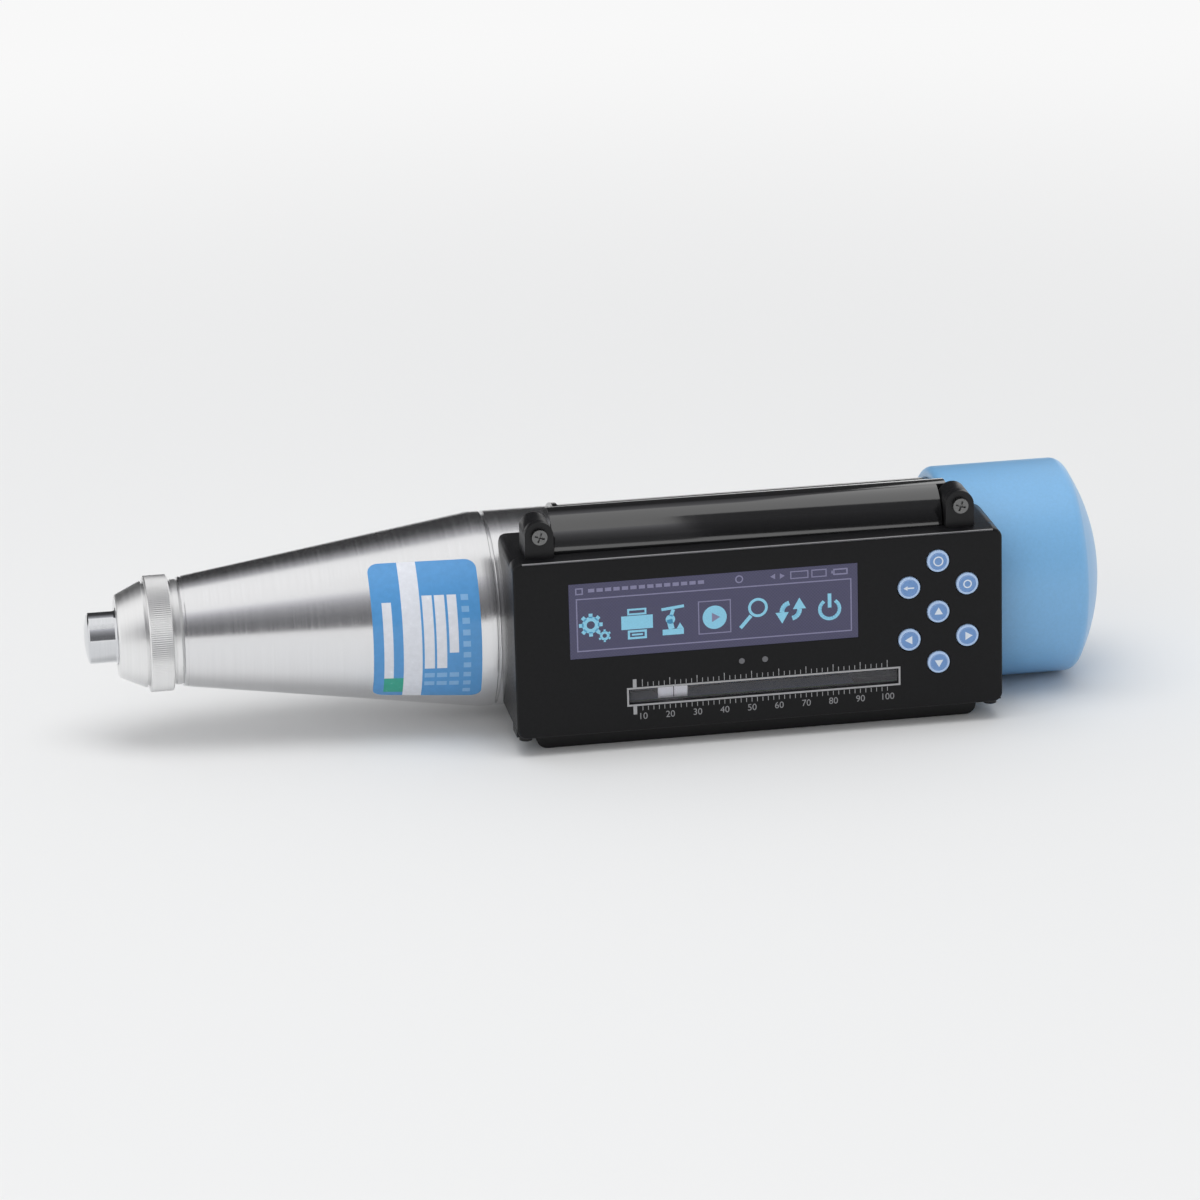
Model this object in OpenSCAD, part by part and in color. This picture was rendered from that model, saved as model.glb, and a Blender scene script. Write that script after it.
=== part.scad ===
// Digital rebound hammer for testing concrete, plunger pushed in and locked.
// X runs along the hammer axis to the rear, the display looks along -Y, Z is up. Millimetres.
// The origin is on the axis, in the middle of the plunger's striking land.

/* [Plunger] */
// Diameter of the striking land in front of the nose
land_d = 14; // [12:0.5:14.5]
// Length of the striking land, dome included
land_len = 8.4; // [7:0.2:12]
// Radius of the domed striking face
tip_dome_r = 25; // [15:1:40]
// Diameter of the guided shaft behind the land
shaft_d = 15; // [14.6:0.2:17]
// Length of the guided shaft
shaft_len = 87.6; // [84:0.2:92]
// Depth of the blind bore in the rear of the shaft
shaft_bore_depth = 50; // [40:1:55]
// Radial room between the shaft and its guide sleeve
running_gap = 0.05; // [0.02:0.01:0.09]

/* [Nose cap] */
// Gap between the plunger's shoulder and the nose
nose_gap = 0.4; // [0.2:0.1:1]
// Diameter of the flat front of the nose
nose_face_d = 22.6; // [20:0.2:25]
// Length of the tapered front of the nose
nose_taper_len = 8; // [6:0.5:10]
// Diameter at the large end of the taper
nose_taper_d = 29.8; // [28:0.2:31]
// Diameter of the raised grip ring
nose_ring_d = 31.8; // [31:0.2:36]
// Width of the raised grip ring
nose_ring_w = 6.6; // [5:0.2:9]
// Diameter of the collar behind the ring
nose_collar_d = 28.8; // [28:0.2:31]
// Width of the collar behind the ring
nose_collar_w = 2.6; // [2:0.2:5]
// Thickness of the wall at the front of the nose
nose_wall = 3.2; // [2.4:0.2:4]
// Radial room around the plunger in the nose and felt
nose_clear = 0.3; // [0.2:0.05:0.5]
// Thickness of the felt seal
felt_t = 1.8; // [1.4:0.1:2]
// Diameter of the felt's pocket
felt_pocket_d = 20.8; // [20.4:0.2:22]
// Diameter of the nose cap's thread
nose_thread_d = 24; // [23.6:0.1:25]

/* [Barrel] */
// Diameter of the cone at the nose
cone_small_d = 30; // [29:0.5:34]
// Length of the cone
cone_len = 80.5; // [76:0.5:86]
// Diameter of the bare metal front barrel
front_barrel_d = 53.6; // [52:0.2:53.8]
// Length of the straight part of the front barrel
front_cyl_len = 23.5; // [20:0.5:30]
// Diameter of the black middle barrel
barrel_d = 53.8; // [53.8:0.2:56]
// Bore of the middle barrel
barrel_bore_d = 50; // [49.6:0.1:50.4]
// Length of the screwed joint between the barrels
joint_len = 9; // [7:0.5:12]
// Bore of the front barrel at the hammer mass
mass_bore_d = 40.4; // [39:0.2:42]
// Bore of the front barrel at the impact spring
spring_bore_d = 27.6; // [27:0.2:29]
// Length of cone that the wide bore reaches into
wide_bore_lead = 26.1; // [24:0.1:27]
// Diameter of the raised rim at the front of the middle barrel
barrel_rim_d = 55.2; // [54.6:0.2:57]
// Width of that rim
barrel_rim_w = 1.4; // [1:0.2:2.4]

/* [Guide sleeve and impact spring] */
// Outside diameter of the guide sleeve
sleeve_d = 19.8; // [19.4:0.1:20]
// Thickness of the split ring and of its groove in the sleeve
split_ring_t = 2; // [1.6:0.2:2.6]
// Depth of the groove in the sleeve
sleeve_groove = 1; // [0.8:0.1:1.2]
// Diameter of the flange that the spring pushes on
seat_flange_d = 26.8; // [26:0.2:27]
// Thickness of that flange
seat_flange_t = 4; // [3:0.5:5]
// Distance from the barrel cone's small end to the flange
seat_back = 13; // [11:0.5:15]
// Length of the sleeve behind the flange
seat_hub_len = 7.5; // [6:0.5:9]
// Working length of the impact spring
impact_spring_len = 61.5; // [58:0.5:62]
// Wire of the impact spring
impact_wire = 1.7; // [1.4:0.1:1.9]
// Mean radius of the impact spring
impact_mean_r = 12; // [11.9:0.1:12.2]
// Turns of the impact spring
impact_turns = 18; // [14:1:20]

/* [Hammer mass and guide bar] */
// Gap between the plunger and the hammer mass at rest
strike_gap = 0.3; // [0.2:0.1:0.6]
// Length of the hammer mass
mass_len = 63.7; // [62:0.1:66]
// Diameter of the hammer mass
mass_d = 35; // [33:0.5:37]
// Diameter of the neck that carries the impact spring
mass_neck_d = 19.8; // [18:0.2:20]
// Length of that neck
mass_neck_len = 11.5; // [10:0.5:13]
// Diameter of the catch groove near the rear
mass_groove_d = 20; // [16:0.5:21]
// Width of the catch groove
mass_groove_w = 7; // [6.5:0.5:9]
// Diameter of the rim that the pawl catches
mass_rim_d = 28; // [26.5:0.5:28.5]
// Width of that rim
mass_rim_w = 4.6; // [3:0.2:5]
// Diameter of the guide bar
bar_d = 8; // [7:0.5:9]
// Stroke of the plunger and of the hammer mass
stroke = 75; // [70:1:75]
// Wire of the buffer spring in the plunger
buffer_wire = 0.9; // [0.7:0.1:1]
// Length of the buffer spring
buffer_len = 7.6; // [6:0.2:9]

/* [Guide disk and pawl] */
// Distance left between the mass and the disk at the end of the stroke
disk_gap = 1; // [0.6:0.2:2]
// Thickness of the guide disk
disk_t = 8; // [7:0.5:9]
// Radial room between the disk and the barrel bore
disk_play = 0.08; // [0.03:0.01:0.1]
// Height of the pawl's pivot above the axis
pawl_pivot_z = 17; // [16.5:0.1:17.5]
// Diameter of the pawl's pin
pawl_pin_d = 2.4; // [2:0.2:2.8]
// Thickness of the pawl
pawl_w = 5.6; // [4.6:0.2:6.4]
// Reach of the pawl's hook in front of the pivot
pawl_reach = 15; // [14.4:0.2:15.4]
// Length of the hook along the axis
pawl_hook_len = 4.4; // [3.6:0.2:4.8]
// Radius that the hook's tip reaches when it is closed
pawl_hook_r = 11; // [10.8:0.1:11.5]
// Angle by which the trip screw holds the pawl open
pawl_open = 20; // [19:0.5:21]
// Side room of the pawl in the disk's slot
pawl_side_gap = 0.3; // [0.3:0.05:0.5]

/* [Rear end] */
// Distance from the guide disk to the rear end of the barrel
tail_room = 18; // [16:0.5:22]
// Length of the rear plug's thread
plug_thread_len = 8; // [7:0.5:10]
// Thickness of the rear plug's flange
plug_flange_t = 4; // [3:0.5:5]
// Length of the plug behind its flange
plug_cup_len = 8.4; // [7.6:0.2:9]
// Diameter of the plug behind its flange
plug_cup_d = 49; // [48.4:0.2:49.4]
// Wall at the rear of the plug
plug_wall = 4; // [3:0.5:5]
// Bore of the plug, around the spring
plug_bore_d = 45; // [44.6:0.2:46]
// Wire of the compression spring
main_wire = 2; // [1.6:0.1:2.4]
// Mean radius of the compression spring
main_mean_r = 20.5; // [20:0.1:20.8]
// Turns of the compression spring
main_turns = 7; // [5:1:8]
// Height of the trip screw above the axis
trip_z = 11.5; // [11:0.1:12]
// Diameter of the trip screw
trip_d = 5; // [4:0.5:6]
// Width across the flats of the lock nut
trip_nut_af = 7; // [6.6:0.1:8]
// Thickness of the lock nut
trip_nut_t = 2.2; // [1.8:0.1:2.4]
// How far the trip screw stands out of its lock nut
trip_end = 0.4; // [0.2:0.1:0.6]
// Diameter of the blue rear cap
cap_d = 59.6; // [58.8:0.2:62]
// Length of barrel that the cap covers
cap_lap = 26; // [22:0.5:28]
// Distance from the start of the cap's dome to the end of the plug
cap_short = 1.4; // [0.8:0.1:2]
// Radius of the cap's domed end
cap_dome_r = 55; // [45:1:65]
// Wall of the cap's domed end
cap_wall = 2.4; // [2:0.2:3.2]
// Rounding of the cap's rim
cap_rim_r = 2.2; // [1:0.2:2.6]

/* [Housing] */
// Distance from the middle key column to the right end of the housing
box_tail = 17.9; // [17.4:0.1:20]
// How far the housing's top and bottom lie inside the outline of the middle barrel
box_inset = 2.15; // [1.4:0.05:2.8]
// Distance from the pointer's rod to the front of the housing
face_lead = 9; // [8.8:0.1:9.6]
// How far the housing reaches over the front barrel
box_lead = 17.6; // [15:0.2:20]
// Depth of the front tray, face panel included
tray_depth = 6.6; // [6.2:0.1:7.2]
// Corner radius of the housing
box_corner_r = 2.6; // [1.6:0.2:3.2]
// Wall of the housing
case_wall = 2.3; // [1.8:0.1:2.6]
// Thickness of the face panel
panel_t = 1; // [0.8:0.1:1.2]
// Wall behind the face panel
tray_front_t = 1.6; // [1.4:0.1:1.8]
// Distance from the axis to the rear edge of the housing
saddle_back = 12; // [11:0.5:14]
// Gap between the housing and the barrels
saddle_gap = 0.05; // [0.03:0.01:0.1]
// Gap around the rear cap
cap_clear = 0.3; // [0.2:0.05:0.5]
// Gap between fixed pieces that are set into each other
seam = 0.1; // [0.05:0.01:0.15]

/* [Ears and case screws] */
// Distance from the left end of the housing to the left ear
ear_left = 8; // [6.5:0.5:9]
// Distance from the right end of the housing to the right ear
ear_right = 10.8; // [9:0.2:12]
// Height of the ear screws above the axis
ear_z = 31; // [29:0.2:33]
// Radius of the ears' round tops
ear_r = 3.9; // [3.4:0.1:4.4]
// Length of the rear lug of each ear
ear_rear_len = 7.4; // [6:0.2:9]
// Thickness of the front lug of each ear
ear_front_len = 2.6; // [2:0.2:3.2]
// Diameter of the ear screws
ear_screw_d = 2.5; // [2:0.1:3]
// Diameter of the ear screws' heads
ear_head_d = 4.2; // [3.8:0.1:5]

/* [Hood on the housing] */
// Radius of the half-round hood
hood_r = 10.3; // [9:0.1:11]
// Depth of the hood's axis below the top of the housing
hood_low = 0.5; // [0.3:0.1:1.5]
// Wall of the hood
hood_wall = 1.8; // [1.4:0.1:2.4]
// Solid length at each end of the hood
hood_end = 5; // [4:0.5:8]
// Gap between the hood and the ears
hood_gap = 0.3; // [0.2:0.05:0.5]
// Length of the hood behind the right ear
hood_past = 2.8; // [2:0.1:3]
// Diameter of the pegs that hold the hood
hood_peg_d = 2.4; // [2:0.1:3]
// Height of the screw heads
screw_head_h = 1.3; // [1:0.1:1.6]
// Diameter of the corner screws
corner_screw_d = 2; // [1.6:0.1:2.4]
// Diameter of the corner screws' heads
corner_head_d = 3.6; // [3.2:0.1:3.8]
// Distance from the housing's ends to the corner screws
corner_inset = 2.7; // [2.4:0.1:3]
// Distance from the housing's joint to the corner screws
corner_front = 2.6; // [2.4:0.1:2.8]
// Height of the bosses above the tongues
corner_boss_h = 6; // [5:0.1:6.4]
// Depth of the tongues' notches behind the face panel
tongue_set = 1.4; // [1.2:0.1:1.5]
// Length of the tongues past the screw heads
tongue_end = 0.8; // [0.6:0.1:1]
// Thickness of the tongues under the corner screws
tongue_t = 2; // [1.6:0.1:2.3]

/* [Face] */
// Distance from the left end of the housing to the display
window_in = 14.9; // [13:0.1:16]
// Length of the display glass
window_len = 79; // [76:0.5:80]
// Height of the display glass
window_h = 21.1; // [19:0.1:22]
// Height of the display's middle above the axis
window_z = 7.5; // [6.5:0.1:8]
// Ledge that the display glass rests on
window_ledge = 0.8; // [0.6:0.1:1.2]
// Distance from the left end of the housing to the scale slot
slot_in = 30.6; // [29:0.1:32]
// Length of the scale slot
slot_len = 74.3; // [70:0.1:76]
// Height of the scale slot
slot_h = 4.2; // [4:0.1:5]
// Height of the scale slot's middle
slot_z = -15; // [-15.4:0.1:-14.6]
// Diameter of the keys
key_d = 6.1; // [5.6:0.1:6.4]
// Distance from the scale slot to the middle key column
key_off = 11.2; // [10.8:0.1:13]
// Least room between the display module and the keys
key_room = 0.5; // [0.4:0.1:1]
// Height of the middle key above the axis
key_z = 2.5; // [2:0.1:3]
// Distance from the middle key to the upper and lower key
key_rise = 14.4; // [13.6:0.1:15]
// Sideways distance of the outer key columns
key_side = 8.05; // [7.8:0.05:8.4]
// Height distance of the outer keys from the middle key
key_step = 7.4; // [7:0.1:8]
// Room around each key
key_gap = 0.3; // [0.2:0.05:0.4]
// How far the keys stand out of the face
key_proud = 0.6; // [0.5:0.1:1]
// Width of the flange that keeps each key in
key_flange_w = 0.8; // [0.6:0.1:1]
// Thickness of that flange
key_flange_t = 0.7; // [0.5:0.1:0.8]
// Height of the switches under the keys
switch_h = 0.7; // [0.5:0.1:0.8]
// Radius of the switches under the keys
switch_r = 1.9; // [1.5:0.1:2.4]
// Travel of the keys
key_travel = 0.5; // [0.3:0.1:0.5]
// Diameter of the two lamps
lamp_d = 1.6; // [1.2:0.1:2]
// Distance from the left end of the housing to the first lamp
lamp_in = 61.7; // [60:0.1:64]
// Distance between the lamps
lamp_pitch = 6.4; // [5:0.1:8]
// Height of the lamps
lamp_z = -7.2; // [-7.6:0.1:-6.6]

/* [Pointer] */
// Distance from the left end of the housing to the pointer at rest
pointer_in = 43.05; // [43:0.05:44]
// Length of the pointer block
pointer_len = 8.1; // [7:0.1:9]
// Height of the pointer block
pointer_h = 3.8; // [3.4:0.1:3.9]
// Gap between the pointer block and the wall in front of it
pointer_gap = 0.3; // [0.2:0.05:0.4]
// Diameter of the pointer's rod
rod_d = 2.4; // [2:0.1:2.6]
// Distance from the outside of the middle barrel to the pointer's rod
rod_lift = 5.1; // [4.7:0.1:5.5]
// Distance from the axis to the tip of the pointer's finger
finger_depth = 16.5; // [15.6:0.1:17.5]
// Length of the finger along the axis
finger_len = 4; // [3:0.5:5]
// Thickness of the brackets that hold the rod
bracket_t = 4; // [3:0.5:5]
// Distance of the brackets from the ends of the scale slot
bracket_off = 2; // [1.6:0.1:3]

/* [Electronics] */
// Thickness of the main board
board_t = 1.6; // [1.2:0.1:1.7]
// Room between the tray's end and the board's front
board_set = 1.2; // [1:0.1:1.4]
// Radius of the posts that carry the board
boss_r = 1.9; // [1.6:0.1:2.2]
// Distance of the lower left post before the scale slot
post_left = 9; // [8:0.1:10]
// Distance of the lower right post behind the scale slot
post_right = 1.6; // [1:0.1:2]
// Distance of the lower posts from the board's edge
post_up = 2; // [1.9:0.1:2.4]
// Distance of the upper posts from the board's edge
post_down = 1.7; // [1.6:0.1:2]
// Thickness of the display module
module_t = 1.8; // [1.4:0.1:1.9]
// How far the display module reaches past the glass on each end
module_lap = 4; // [2:0.5:5]
// Thickness of the position sensor strip
strip_t = 1; // [0.8:0.1:1.2]
// Height of the position sensor strip
strip_h = 3; // [2:0.1:3.4]
// Distance of the strip from the slot in the board
strip_gap = 0.4; // [0.3:0.1:0.8]
// Diameter of the speaker
speaker_d = 15; // [12:0.5:16]
// Depth of the speaker
speaker_t = 2.6; // [2:0.2:3]
// Length of the battery
battery_len = 70; // [60:1:76]
// Depth of the battery from front to back
battery_w = 9.8; // [8:0.2:10]
// Height of the battery
battery_h = 9; // [8:0.2:9.2]
// How far the battery starts before the scale slot
battery_lead = 6; // [4:0.5:8]
// Distance from the housing's joint to the battery
battery_set = 1; // [0.8:0.1:1.4]
// Width of the charging socket
socket_w = 9; // [8:0.2:9.4]
// Height of the charging socket
socket_h = 3.2; // [3:0.1:3.4]
// Depth of the charging socket
socket_len = 7.4; // [6.6:0.2:8]

/* [Base cover] */
// Distance from the left end of the housing to the cover
cover_in = 6; // [5:0.5:10]
// How far the cover reaches under the rear cap
cover_over = 4.7; // [2:0.1:5.5]
// How far the cover's underside lies below the rear cap
cover_drop = 0.2; // [0.1:0.05:0.6]
// Reach of the cover behind the axis
cover_back = 8; // [4:0.5:10]
// Rounding of the cover's lower corners
cover_corner_r = 3; // [2:0.2:3.6]
// Distance from the cover's left end to its first screw
cover_screw_in = 5; // [4.4:0.1:6]
// Distance from the rear cap's relief to the second screw
cover_screw_back = 9.3; // [6:0.1:12]
// Distance from the housing's rear edge to the cover screws
cover_screw_front = 5.5; // [4.4:0.1:6.5]
// Radius of the bosses for the cover screws
cover_boss_r = 2.4; // [2:0.1:2.8]
// Height of the bosses for the cover screws
cover_boss_h = 3; // [2.4:0.1:3.6]
// Wall of the cover below the battery
cover_floor = 1.5; // [1.2:0.1:1.8]

/* [Lock button] */
// Diameter of the lock button's head
lock_d = 10.8; // [10:0.2:11.4]
// Travel of the lock button
lock_travel = 3; // [2:0.1:3]
// Diameter of the lock button's stem
lock_stem_d = 5; // [4:0.2:5.4]
// Outside diameter of the lock button's bush
lock_bush_d = 16.6; // [15:0.2:17.6]
// Least thickness of the bush below the lock button
lock_floor_t = 0.3; // [0.2:0.05:0.6]
// How far the bush holds the button when it is out
lock_hold = 0.7; // [0.5:0.1:1.2]
// How far the button stands out of its bush
lock_proud = 3.2; // [3.1:0.1:4]
// Radial room around the stem in the barrel
lock_hole_gap = 1.2; // [0.8:0.1:1.6]
// Radial room between the button and its bush
lock_play = 0.08; // [0.04:0.01:0.1]

/* [Sticker] */
// Distance from the cone's large end to the sticker
label_back = 1; // [0.5:0.5:4]
// Length of the sticker along the cone
label_len = 29; // [24:0.5:34]
// Angle of the sticker above the front
label_up = 47; // [36:1:56]
// Angle of the sticker below the front
label_down = 47; // [36:1:56]
// Thickness of the sticker
label_t = 0.3; // [0.2:0.02:0.4]

/* [Hidden] */
$fn = 64;
eps = 0.01;
cut = 1;
bond = 0.02;
spring_end_gap = 0.15;

// Stations along the axis.
x_tip = -land_len / 2;
x_shoulder = land_len / 2;
x_nose = x_shoulder + nose_gap;
nose_len = nose_taper_len + nose_ring_w + nose_collar_w;
x_cone = x_nose + nose_len;
x_cyl = x_cone + cone_len;
x_barrel = x_cyl + front_cyl_len;
x_felt = x_nose + nose_wall;
x_head = x_felt + felt_t + seam;
head_t = 1;
x_groove = x_head + head_t;
x_spigot = x_groove + split_ring_t + seam;
x_seat = x_cone + seat_back;
x_hub = x_seat + seat_flange_t;
x_shaft_end = x_shoulder + shaft_len;
x_mass = x_shaft_end + strike_gap;
x_mass_end = x_mass + mass_len;
x_disk = x_mass_end + stroke + disk_gap;
x_disk_end = x_disk + disk_t;
x_barrel_end = x_disk_end + tail_room;
x_plug = x_barrel_end - plug_thread_len;
x_cup = x_barrel_end + plug_flange_t;
x_plug_end = x_cup + plug_cup_len;
x_cap = x_barrel_end - cap_lap;
x_bar = x_shaft_end - shaft_bore_depth + buffer_len + 2 * seam;
x_big_bore = x_cyl - wide_bore_lead;

// Radii.
land_r = land_d / 2;
shaft_r = shaft_d / 2;
barrel_r = barrel_d / 2;
bore_r = barrel_bore_d / 2;
front_r = front_barrel_d / 2;
cap_r = cap_d / 2;
bar_r = bar_d / 2;
mass_r = mass_d / 2;
sleeve_r = sleeve_d / 2;
shaft_bore_r = bar_r + 0.3;
saddle_r = barrel_r + saddle_gap;
relief_r = cap_r + cap_clear;
dome_sag = cap_dome_r - sqrt(cap_dome_r * cap_dome_r - cap_r * cap_r);
x_apex = x_plug_end - cap_short + dome_sag;

// The housing.
box_x0 = x_barrel - box_lead;
slot_x0 = box_x0 + slot_in;
slot_x1 = slot_x0 + slot_len;
window_x0 = box_x0 + window_in;
window_x1 = window_x0 + window_len;
key_r = key_d / 2;
key_flange_r = key_r + key_flange_w;
key_x = max(slot_x1 + key_off, window_x1 + module_lap + key_room + key_side + key_flange_r);
box_x1 = key_x + box_tail;
box_len = box_x1 - box_x0;
rod_depth = barrel_r + rod_lift;
box_front = rod_depth + face_lead;
box_z = barrel_r - box_inset;
box_h = 2 * box_z;
y_face = -box_front;
y_tray = y_face + panel_t;
y_tray_in = y_tray + tray_front_t;
y_part = y_face + tray_depth;
x_relief = x_cap - cap_clear;
inner_r = barrel_r + case_wall;
inner_relief_r = relief_r + case_wall - 0.5;
ear_xs = [box_x0 + ear_left, box_x1 - ear_right];
hood_x0 = ear_xs[0] + ear_r + hood_gap;
hood_side = ear_xs[1] - ear_r - hood_gap;
hood_x1 = hood_side + hood_past;
hood_y = y_part + sqrt(hood_r * hood_r - hood_low * hood_low);
hood_z = box_z - hood_low;
hood_peg_xs = [hood_x0 + hood_end / 2, hood_side - hood_end / 2];
corner_xs = [box_x0 + corner_inset, box_x1 - corner_inset];
corner_y = y_part - corner_front;
tongue_len = corner_inset + corner_head_d / 2 + tongue_end;
corner_boss_z = tongue_t + corner_boss_h - box_z;
y_tongue = y_tray + tongue_set;
y_board = y_part - board_set;
y_board_back = y_board + board_t;
board_x0 = box_x0 + case_wall + 0.7;
board_x1 = box_x1 - case_wall - 1.2;
board_z = box_z - case_wall - 0.7;
pointer_x = box_x0 + pointer_in;
rod_x0 = slot_x0 - bracket_off - bracket_t;
rod_x1 = slot_x1 + bracket_off + bracket_t;
guide_slot_h = pointer_h + 1.4;
lamp_xs = [box_x0 + lamp_in, box_x0 + lamp_in + lamp_pitch];
keys = [
    [0, key_rise],
    [-key_side, key_step],
    [key_side, key_step],
    [0, 0],
    [-key_side, -key_step],
    [key_side, -key_step],
    [0, -key_rise]
];
board_slot_h = guide_slot_h + 1.6;

// The base cover.
cover_z = -(cap_r + cover_drop);
cover_x0 = box_x0 + cover_in;
cover_x1 = x_relief + cover_over;
cover_len = cover_x1 - cover_x0;
cover_y0 = y_part + seam;
cover_screw_xs = [cover_x0 + cover_screw_in, x_relief - cover_screw_back];
cover_screw_y = -saddle_back - cover_screw_front;
cover_head_z = cover_z + screw_head_h + 0.3;
battery_x0 = slot_x0 - battery_lead;
battery_y0 = y_part + battery_set;
battery_z0 = cover_z + cover_floor + seam;
battery_room_gap = 0.5;

// The lock.
lock_x = x_cap - lock_bush_d / 2 - 1.5;
lock_r = lock_d / 2;
lock_floor_y = barrel_r + lock_floor_t;
lock_head_y = lock_floor_y + lock_travel + seam;
lock_bush_y = lock_head_y + lock_hold;
lock_stem_r = lock_stem_d / 2;

// The pawl turns about a pin in the guide disk.
pawl_x = x_disk + disk_t / 2;
pawl_slot_w = pawl_w + 2 * pawl_side_gap;
pawl_arm_z = 14.6;
pawl_top_z = pawl_pivot_z + 1.8;
pawl_tail_z = 9.6;
pawl_floor_z = bar_r + 2;
pawl_tail_r = 1.8;
pawl_trip_gap = 0.4;

module rod(x0, len, r) {
    translate([x0, 0, 0]) rotate([0, 90, 0]) cylinder(r = r, h = len);
}

module tube(x0, len, r, bore) {
    difference() {
        rod(x0, len, r);
        rod(x0 - cut, len + 2 * cut, bore);
    }
}

// A body turned about the axis, from pairs of station and radius.
module turned(pairs) {
    rotate([0, 90, 0]) rotate_extrude() polygon([for (p = pairs) [p[1], p[0]]]);
}

module across(x, y0, z, len, r) {
    translate([x, y0, z]) rotate([-90, 0, 0]) cylinder(r = r, h = len);
}

module block(x0, x1, y0, y1, z0, z1) {
    translate([x0, y0, z0]) cube([x1 - x0, y1 - y0, z1 - z0]);
}

// A plate standing in the XZ plane, from y0 to y1.
module plate(y0, y1) {
    translate([0, y1, 0]) rotate([90, 0, 0]) linear_extrude(y1 - y0) children();
}

module rounded(x0, x1, z0, z1, r) {
    translate([x0 + r, z0]) square([x1 - x0 - 2 * r, z1 - z0]);
    translate([x0, z0 + r]) square([x1 - x0, z1 - z0 - 2 * r]);
    for (x = [x0 + r, x1 - r]) for (z = [z0 + r, z1 - r]) translate([x, z]) circle(r);
}

// One unbroken wire wound about Z, from height 0 to len at its centre line.
function wire_points(r, wire, len, turns, rings, sides) = [
    for (i = [0 : turns * rings])
        let (a = 360 * i / rings, h = len * i / (turns * rings))
            for (j = [0 : sides - 1])
                let (b = 360 * j / sides, q = r + wire / 2 * cos(b))
                    [q * cos(a), q * sin(a), h + wire / 2 * sin(b)]
];

function wire_faces(n, s) = concat(
    [[for (j = [s - 1 : -1 : 0]) j]],
    [[for (j = [0 : s - 1]) n * s + j]],
    [for (i = [0 : n - 1]) for (j = [0 : s - 1]) [i * s + j, i * s + (j + 1) % s, (i + 1) * s + (j + 1) % s]],
    [for (i = [0 : n - 1]) for (j = [0 : s - 1]) [i * s + j, (i + 1) * s + (j + 1) % s, (i + 1) * s + j]]
);

module winding(name, r, wire, len, turns) {
    rings = 8;
    sides = 6;
    points = wire_points(r, wire, len, turns, rings, sides);
    step = rings * sides;
    gaps = [for (i = [0 : len(points) - step - 1]) norm(points[i] - points[i + step]) - wire];
    echo(str(name, " least gap between turns ", min(gaps), " mm"));
    polyhedron(points, wire_faces(turns * rings, sides), convexity = 10);
}

module winding_x(name, x0, x1, r, wire, turns) {
    translate([x0 + wire / 2, 0, 0]) rotate([0, 90, 0]) winding(name, r, wire, x1 - x0 - wire, turns);
}

module nose_cap() {
    color([0.72, 0.72, 0.72]) difference() {
        turned([
            [x_nose, 0],
            [x_nose, nose_face_d / 2],
            [x_nose + nose_taper_len, nose_taper_d / 2],
            [x_nose + nose_taper_len, nose_ring_d / 2],
            [x_nose + nose_taper_len + nose_ring_w, nose_ring_d / 2],
            [x_nose + nose_taper_len + nose_ring_w, nose_collar_d / 2],
            [x_cone, nose_collar_d / 2],
            [x_cone, 0]
        ]);
        rod(x_nose - cut, nose_len + 2 * cut, shaft_r + nose_clear);
        rod(x_felt, nose_len, felt_pocket_d / 2);
        rod(x_groove - seam, nose_len, nose_thread_d / 2);
    }
}

module felt_seal() {
    color([0.35, 0.34, 0.32]) tube(x_felt, felt_t, felt_pocket_d / 2 - seam, shaft_r + nose_clear);
}

module split_ring() {
    slit = 0.6;
    color([0.62, 0.62, 0.60]) difference() {
        tube(x_groove, split_ring_t, nose_thread_d / 2 - seam, sleeve_r - sleeve_groove + seam);
        block(x_groove - cut, x_spigot + cut, -nose_thread_d, nose_thread_d, -slit / 2, slit / 2);
    }
}

module guide_sleeve() {
    color([0.66, 0.60, 0.42]) difference() {
        turned([
            [x_head, 0],
            [x_head, sleeve_r],
            [x_groove - bond, sleeve_r],
            [x_groove - bond, sleeve_r - sleeve_groove],
            [x_groove + split_ring_t + bond, sleeve_r - sleeve_groove],
            [x_groove + split_ring_t + bond, sleeve_r],
            [x_seat, sleeve_r],
            [x_seat, seat_flange_d / 2],
            [x_hub, seat_flange_d / 2],
            [x_hub, sleeve_r],
            [x_hub + seat_hub_len, sleeve_r],
            [x_hub + seat_hub_len, 0]
        ]);
        rod(x_head - cut, x_hub + seat_hub_len - x_head + 2 * cut, shaft_r + running_gap);
    }
}

module front_barrel() {
    joint_r = bore_r - seam;
    color([0.80, 0.80, 0.81]) difference() {
        turned([
            [x_spigot, 0],
            [x_spigot, nose_thread_d / 2 - seam],
            [x_cone, nose_thread_d / 2 - seam],
            [x_cone, cone_small_d / 2],
            [x_cyl, front_r],
            [x_barrel, front_r],
            [x_barrel, joint_r],
            [x_barrel + joint_len, joint_r],
            [x_barrel + joint_len, 0]
        ]);
        rod(x_spigot - cut, x_barrel, sleeve_r + seam);
        rod(x_seat - seam, x_barrel, spring_bore_d / 2);
        rod(x_big_bore, x_barrel, mass_bore_d / 2);
    }
}

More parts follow.
